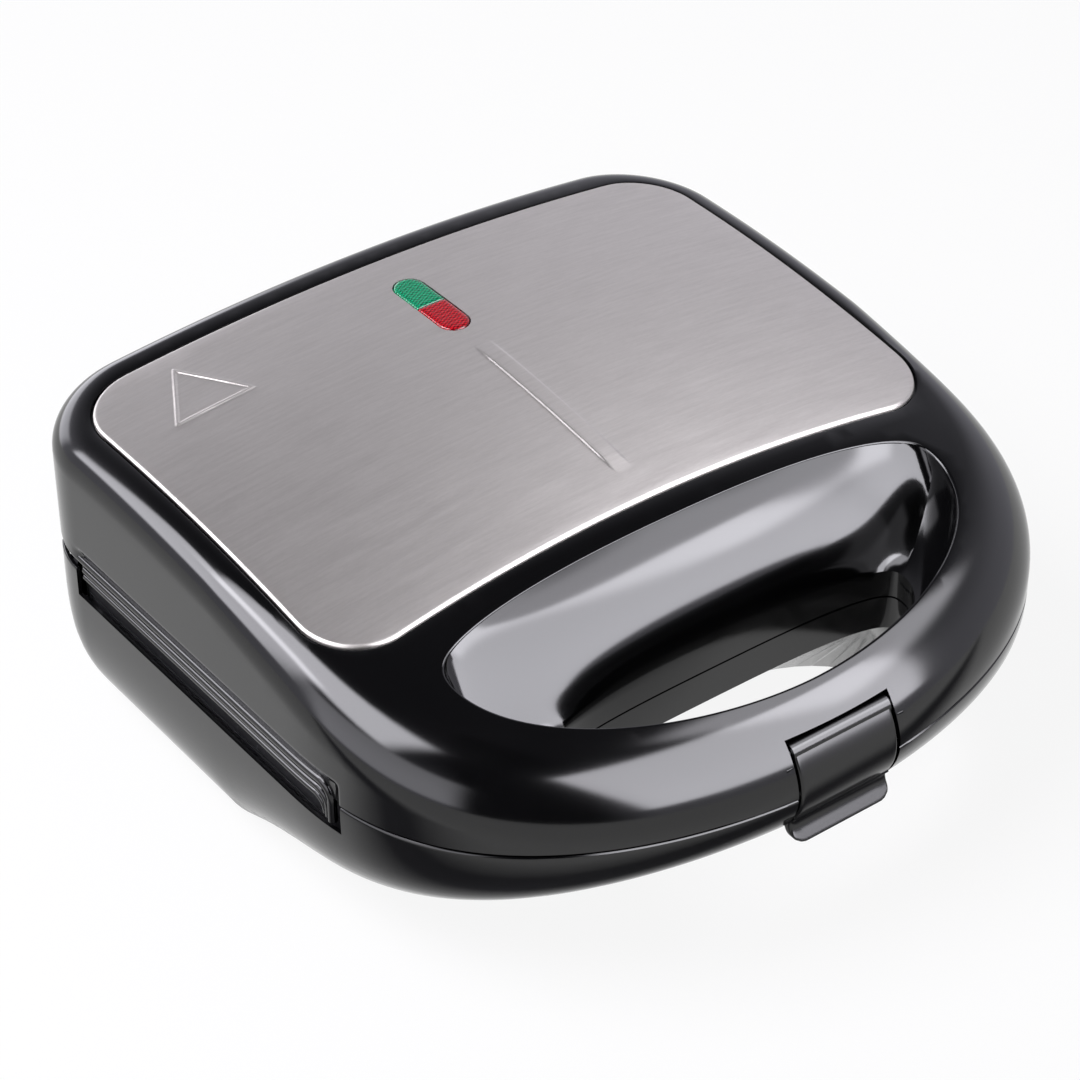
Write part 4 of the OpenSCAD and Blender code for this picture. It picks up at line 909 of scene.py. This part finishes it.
def baseHolePoint(angle, z):
    drop = max(0.0, partZ - baseSet["holeFlareDrop"] - z)
    return deePoint(angle, scoop["holeHalfWidth"] + baseSet["flareX"] * drop,
                    scoop["holeRear"] + baseSet["flareY"] * drop, scoop["holeFront"], scoop["holeY"])


def baseRing(stations, z, skin):
    return [(*station(tuck(station(0)[1], partZ - z) + skin), z) for station in stations]


def roundShare(share):
    # quarter round: 1 at the edge, 0 where the rounding ends
    return 1 - sqrt(max(0.0, 1 - (1 - clamp(share)) ** 2))


def makeBaseShell():
    s = baseSet
    far, over = s["farSide"], s["over"]
    stations = outlineStations(1.5, [case["slotFrontY"]], sideStep=6.0, cornerSteps=14)
    rim = partZ - case["partGap"]
    levels = [s["footZ"]] + s["levels"] + [rim]
    rings = [baseRing(stations, z, s["footRound"] * roundShare((z - s["footZ"]) / s["footRun"])
                      + s["rimRound"] * roundShare((rim - z) / s["rimRun"])) for z in levels]
    outer = addLoft("baseSkin", rings)
    core = [baseRing(stations, z, s["skin"]) for z in levels]
    core = [[(x, y, s["below"]) for x, y, _ in core[0]]] + core + [[(x, y, over) for x, y, _ in core[-1]]]
    coreLoft = addLoft("baseCore", core)
    carve(outer, addPiece("baseCoreCopy", coreLoft.data.copy()))
    carveBox(outer, (-far, case["slotFrontY"], s["skinTop"]), (far, s["slotRearY"], s["farTop"]))
    carveBox(outer, (-far, s["skinRearY"], s["wallTop"]), (far, far, s["farTop"]))
    angles = [2 * pi * k / s["holeSteps"] for k in range(s["holeSteps"])]
    hole = [[(*baseHolePoint(a, z), z) for a in angles]
            for z in s["holeLevels"] + [partZ - s["holeFlareDrop"], over]]
    carve(outer, addLoft("cutHole", hole))
    half = latchSlot["halfWidth"]
    carveBox(outer, (-half, -far, partZ - latchSlot["baseCutLow"]), (half, latchSlot["catchY"], over))
    low = s["wallTop"] - s["notch"]
    for x0, x1 in ((-s["armEnd"], -s["barrelHalf"]), (s["barrelHalf"], s["armEnd"]), s["leadGap"]):
        carveBox(outer, (x0, s["notchY"], low), (x1, far, over))
    ends = [(s["glandX"], y, s["glandZ"]) for y in s["glandY"]]
    carve(outer, addPiece("cutGland", rodMesh("cutGland", *ends, s["glandRadius"])))
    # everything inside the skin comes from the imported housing
    inner = addPiece("baseInner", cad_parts["base_housing"].data.copy())
    tidyMesh(inner.data, weld["packed"], False)
    above = boxMesh("above", (-far, case["slotFrontY"], s["wallTop"] - 0.5), (far, far, s["farTop"]))
    carve(coreLoft, addPiece("above", above), "UNION")
    carve(inner, coreLoft, "INTERSECT")
    mesh = joinMeshes("baseShell", [outer.data, inner.data])
    for piece in (outer, inner):
        bpy.data.objects.remove(piece)
    return addShaded("baseShell", mesh, "shell")


baseShell = makeBaseShell()
print("base shell", len(baseShell.data.polygons))


def addNode(tree, kind, values=None, **settings):
    made = tree.nodes.new(kind)
    for key, value in settings.items():
        setattr(made, key, value)
    for key, value in (values or {}).items():
        socket = made.inputs[key]
        if isinstance(value, bpy.types.NodeSocket):
            tree.links.new(value, socket)
        else:
            socket.default_value = value
    return made


def hexColour(text):
    # sRGB hex to the linear values that shaders use
    parts = [int(text[i:i + 2], 16) / 255 for i in (1, 3, 5)]
    return tuple(c / 12.92 if c <= 0.04045 else ((c + 0.055) / 1.055) ** 2.4 for c in parts) + (1.0,)


# short forms of the nodes used most; each gives the socket to link from
def compute(tree, operation, *values, **settings):
    kind = "ShaderNodeMath"
    return addNode(tree, kind, dict(enumerate(values)), operation=operation, **settings).outputs[0]


def remap(tree, value, low, high, toLow=0.0, toHigh=1.0, **settings):
    ends = {"Value": value, "From Min": low, "From Max": high, "To Min": toLow, "To Max": toHigh}
    return addNode(tree, "ShaderNodeMapRange", ends, **settings).outputs[0]


def noise(tree, place, scale, detail, **more):
    values = {"Vector": place, "Scale": scale, "Detail": detail, **more}
    return addNode(tree, "ShaderNodeTexNoise", values).outputs[0]


def blend(tree, share, low, high):
    ends = [hexColour(end) if isinstance(end, str) else end for end in (low, high)]
    return addNode(tree, "ShaderNodeMix", {0: share, 6: ends[0], 7: ends[1]}, data_type="RGBA").outputs[2]


def alongBearing(tree, place, degrees):
    turned = radians(degrees)
    return addNode(tree, "ShaderNodeVectorMath", {0: place, 1: (cos(turned), sin(turned), 0)},
                   operation="DOT_PRODUCT").outputs["Value"]


# beads along the side slot; heights are from the parting line, in mm
beads = {
    "upper": {"z": 3.9, "radius": 1.35, "sunk": 0.6, "frontY": -41.0, "endZ": -8.5},
    "middle": {"z": 0.9, "radius": 1.15, "sunk": 0.6, "frontY": -39.8, "endZ": -7.0},
    "lower": {"z": -1.5, "radius": 0.95, "sunk": 0.6, "frontY": -38.8, "endZ": -5.0},
    "rearY": 81.0, "turn": 4.6, "sides": 20, "cornerTurn": 40, "cornerSteps": 14, "proud": 0.55,
    "alongStep": 3.0, "downStep": 1.0, "turnSteps": 12, "sweepStep": 0.5,
}


def beadPath(side, kind):
    spec, turn = beads[kind], beads["turn"]
    high, front = spec["z"], spec["frontY"]

    def wallInsetAt(y, z):
        return wallInset(y, partZ + z) + spec["radius"] * spec["sunk"] - beads["proud"]

    def wallPoint(y, z):
        inset = wallInsetAt(y, z)
        x = frontPoint(angleAtY(y), inset)[0] if y < case["wideY"] else case["halfWidth"] - inset
        return side * x, y, partZ + z

    path = []
    if kind == "upper":
        inset = wallInsetAt(beads["rearY"], high)
        for k in range(beads["cornerSteps"]):
            t = radians(beads["cornerTurn"] * (1 - k / beads["cornerSteps"]))
            path.append((*cornerPoint(side, t, inset), partZ + high))
    y = beads["rearY"]
    while y > front + turn:
        path.append(wallPoint(y, high))
        y -= beads["alongStep"]
    for k in range(beads["turnSteps"] + 1):
        a = radians(90 * k / beads["turnSteps"])
        path.append(wallPoint(front + turn * (1 - sin(a)), high - turn * (1 - cos(a))))
    z = high - turn - beads["downStep"]
    while z > spec["endZ"]:
        path.append(wallPoint(front, z))
        z -= beads["downStep"]
    return path


def sweepTree():
    # a round bead along a path, with domed ends
    tree = bpy.data.node_groups.new("beadSweep", "GeometryNodeTree")
    face = tree.interface
    for name, kind in (("Geometry", "Geometry"), ("Radius", "Float"), ("Sides", "Int"), ("Step", "Float"),
                       ("Material", "Material")):
        face.new_socket(name, in_out="INPUT", socket_type="NodeSocket" + kind)
    face.new_socket("Geometry", in_out="OUTPUT", socket_type="NodeSocketGeometry")
    given = addNode(tree, "NodeGroupInput").outputs
    path = addNode(tree, "GeometryNodeMeshToCurve", {"Mesh": given["Geometry"]})
    even = addNode(tree, "GeometryNodeResampleCurve", {"Curve": path.outputs[0], "Length": given["Step"]},
                   mode="LENGTH")
    along = addNode(tree, "GeometryNodeSplineParameter").outputs["Length"]
    length = addNode(tree, "GeometryNodeSplineLength").outputs[0]
    near = compute(tree, "MINIMUM", along, compute(tree, "SUBTRACT", length, along))
    back = compute(tree, "SUBTRACT", 1.0, compute(tree, "DIVIDE", near, given["Radius"], use_clamp=True))
    # a trace over 1 keeps the very end from closing to nothing
    dome = compute(tree, "SQRT", compute(tree, "SUBTRACT", 1.0005, compute(tree, "POWER", back, 2.0)))
    sized = addNode(tree, "GeometryNodeSetCurveRadius", {"Curve": even.outputs[0], "Radius": dome})
    ring = addNode(tree, "GeometryNodeCurvePrimitiveCircle",
                   {"Resolution": given["Sides"], "Radius": given["Radius"]})
    tube = addNode(tree, "GeometryNodeCurveToMesh",
                   {"Curve": sized.outputs[0], "Profile Curve": ring.outputs[0], "Fill Caps": True})
    real = addNode(tree, "GeometryNodeRealizeInstances", {"Geometry": tube.outputs[0]})
    done = addNode(tree, "GeometryNodeSetMaterial",
                   {"Geometry": real.outputs[0], "Material": given["Material"]})
    addNode(tree, "NodeGroupOutput", {0: done.outputs[0]})
    return tree


def runTree(piece, tree, **inputs):
    # inputs are given by name and set by the socket's identifier
    modifier = piece.modifiers.new("build", "NODES")
    modifier.node_group = tree
    for item in tree.interface.items_tree:
        if item.in_out == "INPUT" and item.name in inputs:
            modifier[item.identifier] = inputs[item.name]
    applyModifiers(piece)


def newMaterial(name):
    # gives the material, its tree and the place on the object
    material = bpy.data.materials.new(name)
    material.use_nodes = True
    tree = material.node_tree
    tree.nodes.clear()
    return material, tree, addNode(tree, "ShaderNodeTexCoord").outputs["Object"]


def finishSurface(tree, values, height=None, strength=0.0, distance=0.0):
    if height:
        bump = addNode(tree, "ShaderNodeBump", {"Height": height, "Strength": strength, "Distance": distance})
        values = {**values, "Normal": bump.outputs[0]}
    shade = addNode(tree, "ShaderNodeBsdfPrincipled", values)
    addNode(tree, "ShaderNodeOutputMaterial", {0: shade.outputs[0]})


def spread(tree, value, low, high):
    # noise gathers around its middle, so its useful part is stretched over the wanted values
    return remap(tree, value, 0.3, 0.7, low, high)


def makeGlossBlack(name, low, high):
    # black plastic moulded in a polished tool: deep colour, hard gloss, a trace of orange peel and fine dust
    material, tree, place = newMaterial(name)
    peel, haze = noise(tree, place, 260, 2), noise(tree, place, 24, 5)
    finishSurface(tree, {"Base Color": blend(tree, haze, "#060607", "#0a0a0b"),
                         "Roughness": spread(tree, haze, low, high), "IOR": 1.52}, peel, 0.05, 0.00006)
    return material


def makeGrained(name, colourText, low, high, grain):
    # moulded or fired in a spark-eroded tool: fine grain that spreads highlights
    material, tree, place = newMaterial(name)
    grit = noise(tree, place, grain, 4)
    finishSurface(tree, {"Base Color": hexColour(colourText), "Roughness": spread(tree, grit, low, high),
                         "IOR": 1.5}, grit, 0.3, 0.00008)
    return material


def makeBrushedSteel():
    # 430 stainless sheet, belt brushed across the case: fine streaks along X, soft wide glare
    material, tree, place = newMaterial("brushedStainlessSheet")
    streaks = []
    for scale, more in (((450, 3400, 450), {"detail": 4, "Roughness": 0.6}), ((60, 900, 90), {"detail": 2})):
        stretched = addNode(tree, "ShaderNodeMapping", {"Vector": place, "Scale": scale}).outputs[0]
        streaks.append(noise(tree, stretched, 1.0, **more))
    both = compute(tree, "ADD", *streaks)
    brushing = addNode(tree, "ShaderNodeCombineXYZ", {0: 1.0, 1: 0.0, 2: 0.0}).outputs[0]
    finishSurface(tree, {"Base Color": blend(tree, remap(tree, both, 0.7, 1.3), "#b8b4b0", "#c2beba"),
                         "Metallic": 1.0, "Roughness": remap(tree, both, 0.7, 1.3, 0.37, 0.39),
                         "Anisotropic": 0.7, "Anisotropic Rotation": 0.25, "Tangent": brushing},
                  streaks[0], 0.03, 0.00002)
    return material


def makeMetal(name, dark, light, low, high, grain):
    # worked metal with a slight mottle from its surface
    material, tree, place = newMaterial(name)
    spots = noise(tree, place, grain, 5)
    finishSurface(tree, {"Base Color": blend(tree, spots, dark, light), "Metallic": 1.0,
                         "Roughness": spread(tree, spots, low, high)}, spots, 0.15, 0.00005)
    return material


def makeNonStick():
    # sprayed and baked PTFE coat on cast aluminium: dark grey, satin, with fine pale flecks
    material, tree, place = newMaterial("ptfeCoatedCasting")
    fleck, cloud = noise(tree, place, 900, 3), noise(tree, place, 40, 4)
    ground = blend(tree, cloud, "#222224", "#2e2e30")
    finishSurface(tree, {"Base Color": blend(tree, remap(tree, fleck, 0.66, 0.72), ground, "#5c5c5e"),
                         "Roughness": spread(tree, cloud, 0.34, 0.44), "IOR": 1.45}, fleck, 0.2, 0.00005)
    return material


def makeLensPlastic(name, deep, bright):
    # dyed clear acrylic: smooth and glossy outside; the fine prisms on the inside are painted into the colour
    # as a lattice of lighter and deeper cells, painted light in place of their refraction
    material, tree, place = newMaterial(name)
    split = addNode(tree, "ShaderNodeSeparateXYZ", {0: place}).outputs
    waves = [compute(tree, "COSINE", compute(tree, "MULTIPLY", split[axis], 2 * pi / pitch))
             for axis, pitch in ((0, 0.0019), (1, 0.0011))]
    # painted light: the colour runs from deep to bright over a lattice, standing in for light gathered by the
    # prisms
    depth = remap(tree, compute(tree, "MULTIPLY", *waves), -0.6, 0.6)
    finishSurface(tree, {"Base Color": blend(tree, depth, deep, bright), "Roughness": 0.12, "IOR": 1.49})
    return material


glossBlack = makeGlossBlack("glossBlackPbtMoulded", 0.1, 0.14)
latchBlack = makeGlossBlack("semiGlossNylonClip", 0.17, 0.23)
frameBlack = makeGrained("satinBlackPbtMoulded", "#141415", 0.38, 0.5, 700)
rubberBlack = makeGrained("rubberMoulded", "#1b1b1c", 0.7, 0.85, 500)
brushedSteel = makeBrushedSteel()
zincSteel = makeMetal("zincPlatedSteel", "#9c9d9e", "#b8b9ba", 0.25, 0.4, 220)
castAluminium = makeMetal("rolledAluminium", "#a8a9ab", "#c0c1c3", 0.3, 0.42, 160)
nonStick = makeNonStick()
greenAcrylic = makeLensPlastic("greenAcrylicMoulded", "#06563a", "#14a774")
redAcrylic = makeLensPlastic("redAcrylicMoulded", "#6d0812", "#c81a26")
ceramicWhite = makeGrained("glazedSteatite", "#e2dccd", 0.3, 0.45, 300)
print("materials made")


def dress(thing, material):
    thing.data.materials.clear()
    thing.data.materials.append(material)


sweep = sweepTree()
pieceBody = []
for name, side in (("slotBeadLeft", -1), ("slotBeadRight", 1)):
    made = []
    for kind in ("upper", "middle", "lower"):
        path = beadPath(side, kind)
        links = [(k, k + 1) for k in range(len(path) - 1)]
        piece = addPiece(name + kind, meshFrom(name + kind, path, [], links))
        runTree(piece, sweep, Radius=beads[kind]["radius"] * mm, Sides=beads["sides"],
                Step=beads["sweepStep"] * mm, Material=glossBlack)
        tidyMesh(piece.data, weld["bead"])
        made.append(piece)
    joined = addPiece(name, joinMeshes(name, [p.data for p in made]))
    for piece in made:
        bpy.data.objects.remove(piece)
    joined.data.shade_smooth()
    dress(joined, glossBlack)
    pieceBody.append((joined, "lid"))
print("slot beads swept")

for piece, body, replaced, material, slot in (
        (lidShell, "lid", "lid_housing", glossBlack, "shell_black"),
        (slotLiner, "lid", None, glossBlack, "shell_black"),
        (steelCover, "lid", "steel_panel", brushedSteel, "panel_steel"),
        (lensGreen, "lid", "lens_green", greenAcrylic, "lens_green"),
        (lensRed, "lid", "lens_red", redAcrylic, "lens_red"),
        (latchClip, "latch", "latch", latchBlack, "shell_black"),
        (baseShell, "base", "base_housing", glossBlack, "shell_black")):
    dress(piece, material)
    if piece is lidShell:
        shadeByAngle(piece.data, "shell")
    pieceBody.append((piece, body))
    if replaced:
        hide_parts(replaced)
for piece, body in pieceBody:
    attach(piece, body)

finishOf = {
    "lid_frame": frameBlack, "base_frame": frameBlack, "lamp_holder": frameBlack, "lid_plate": nonStick,
    "base_plate": nonStick, "lid_heater": zincSteel, "base_heater": zincSteel, "lid_shield": castAluminium,
    "base_shield": castAluminium, "cord_gland": rubberBlack, "feet": rubberBlack, "cord_clamp": frameBlack,
    "neon_lamps": ceramicWhite, "lid_junction": ceramicWhite, "terminal_block": ceramicWhite,
    "thermal_fuse": ceramicWhite, "lid_lead": rubberBlack, "base_lead": rubberBlack,
}
for name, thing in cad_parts.items():
    if not thing.hide_render:
        dress(thing, finishOf.get(name, zincSteel))
print("nodes dressed")

# floor, sky and lamps
studio = {
    # the paper that mirrored rays see is darker: painted shade for the floor as it is reflected in the object
    "floorSize": 40.0, "floorWhite": 0.9, "paper": "#f4f4f4", "mirroredPaper": "#58585a",
    # mirrored rays find painted shade, a dark band on the floor at the front left that stands in for the
    # shadow under the object: its bearing, middle, half width and rim (m)
    "cardBearing": -115.0, "cardMiddle": 0.125, "cardHalf": 0.01, "cardRim": 0.045, "cardLevel": 0.02,
    "skyColour": "#efeefa", "skyLow": 0.9, "skyHigh": 0.06, "skyFrom": 0.25, "skyTo": 0.85,
    # a black flag behind the camera: its bearing, and how wide it is, as cosines
    "flagBearing": -122.0, "flagCore": 0.95, "flagEdge": 0.87, "flagLevel": 0.02,
    # bearing and height in degrees, distance in m, width and height in m, watts, softened share of the
    # edge, and whether the box also lights matt surfaces, which are lit by one box and the sky
    "boxes": {
        "softboxFront": (-70.0, 32.0, 1.3, 1.45, 1.15, 48.0, 0.12, False),
        "softboxHigh": (-32.0, 50.0, 1.3, 0.95, 0.95, 15.0, 0.4, False),
        "softboxLeft": (163.0, 54.0, 1.3, 1.2, 0.8, 29.0, 0.35, True),
        "softboxRear": (141.0, 32.0, 1.3, 0.7, 0.8, 14.0, 0.3, False),
        "softboxLow": (188.0, 20.0, 1.4, 1.7, 0.95, 11.0, 0.3, False),
        "softboxBack": (92.0, 10.0, 1.4, 1.5, 0.7, 9.0, 0.4, False),
    },
    "boxColour": "#f9f8ff", "boxCentre": 0.06,
}


def softenEdges(data, share):
    # the light fades towards the rim of its diffuser, so that its reflection has no hard border
    data.use_nodes = True
    tree = data.node_tree
    tree.nodes.clear()
    place = addNode(tree, "ShaderNodeNewGeometry").outputs["Parametric"]
    split = addNode(tree, "ShaderNodeSeparateXYZ", {0: place}).outputs
    fades = []
    for axis in (0, 1):
        away = compute(tree, "ABSOLUTE", compute(tree, "SUBTRACT", split[axis], 0.5))
        fades.append(remap(tree, away, 0.5, 0.5 - share / 2, interpolation_type="SMOOTHSTEP"))
    glow = addNode(tree, "ShaderNodeEmission", {"Color": hexColour(studio["boxColour"]),
                                                "Strength": compute(tree, "MULTIPLY", *fades)})
    addNode(tree, "ShaderNodeOutputLight", {0: glow.outputs[0]})


def makeFloor():
    half, white = studio["floorSize"] / 2, studio["floorWhite"]
    mesh = bpy.data.meshes.new("studioFloor")
    corners = [(-half, -half, 0), (half, -half, 0), (half, half, 0), (-half, half, 0)]
    mesh.from_pydata(corners, [], [(0, 1, 2, 3)])
    floor = addPiece("studioFloor", mesh)
    material, tree, place = newMaterial("matteWhiteSweep")
    light = addNode(tree, "ShaderNodeLightPath").outputs
    mirror = compute(tree, "MAXIMUM", light["Is Glossy Ray"], light["Is Transmission Ray"])
    # painted shade: in a band at the front left the floor's white glow drops almost to nothing for mirrored
    # rays, so the object's lower surfaces reflect a shadow painted into the floor
    off = compute(tree, "SUBTRACT", alongBearing(tree, place, studio["cardBearing"]), studio["cardMiddle"])
    paintedShade = remap(tree, compute(tree, "ABSOLUTE", off), studio["cardHalf"], studio["cardRim"],
                 studio["cardLevel"], white)
    mirrored = compute(tree, "MULTIPLY", mirror, paintedShade)
    share = compute(tree, "MULTIPLY_ADD", light["Is Camera Ray"], white, mirrored)
    # painted shade: mirrored rays see darker paper than the camera does, so the floor reflected in the object
    # reads shaded
    tone = blend(tree, mirror, studio["paper"], studio["mirroredPaper"])
    paper = addNode(tree, "ShaderNodeBsdfDiffuse", {"Color": tone})
    glow = addNode(tree, "ShaderNodeEmission", {"Color": (1, 1, 1, 1), "Strength": 1.0})
    both = addNode(tree, "ShaderNodeMixShader", {0: share, 1: paper.outputs[0], 2: glow.outputs[0]})
    addNode(tree, "ShaderNodeOutputMaterial", {0: both.outputs[0]})
    mesh.materials.append(material)


def makeSky():
    # pale near the horizon and dark overhead
    world = bpy.data.worlds.new("studioSky")
    worldScene.world = world
    world.use_nodes = True
    tree = world.node_tree
    tree.nodes.clear()
    place = addNode(tree, "ShaderNodeTexCoord").outputs["Generated"]
    split = addNode(tree, "ShaderNodeSeparateXYZ", {0: place}).outputs
    level = remap(tree, split["Z"], studio["skyFrom"], studio["skyTo"], studio["skyLow"], studio["skyHigh"],
                  interpolation_type="SMOOTHSTEP")
    flat = addNode(tree, "ShaderNodeCombineXYZ", {0: split["X"], 1: split["Y"], 2: 0.0})
    bearing = addNode(tree, "ShaderNodeVectorMath", {0: flat.outputs[0]}, operation="NORMALIZE")
    facing = alongBearing(tree, bearing.outputs[0], studio["flagBearing"])
    shaded = remap(tree, facing, studio["flagEdge"], studio["flagCore"], 1.0, studio["flagLevel"])
    sky = addNode(tree, "ShaderNodeBackground", {"Color": hexColour(studio["skyColour"]),
                                                 "Strength": compute(tree, "MULTIPLY", level, shaded)})
    addNode(tree, "ShaderNodeOutputWorld", {0: sky.outputs[0]})


def makeLamps():
    for name, (bearing, height, distance, width, tall, watts, soft, matt) in studio["boxes"].items():
        data = bpy.data.lights.new(name, "AREA")
        data.shape = "RECTANGLE"
        data.size, data.size_y, data.energy = width, tall, watts
        softenEdges(data, soft)
        lamp = bpy.data.objects.new(name, data)
        lamp.visible_diffuse = matt
        worldScene.collection.objects.link(lamp)
        around, up = radians(bearing), radians(height)
        towards = Vector((cos(up) * cos(around), cos(up) * sin(around), sin(up)))
        lamp.location = towards * distance + Vector((0, 0, studio["boxCentre"]))
        lamp.rotation_euler = (-towards).to_track_quat("-Z", "Y").to_euler()


makeFloor()
makeSky()
makeLamps()
worldScene.view_settings.view_transform = "Standard"
print("studio made")
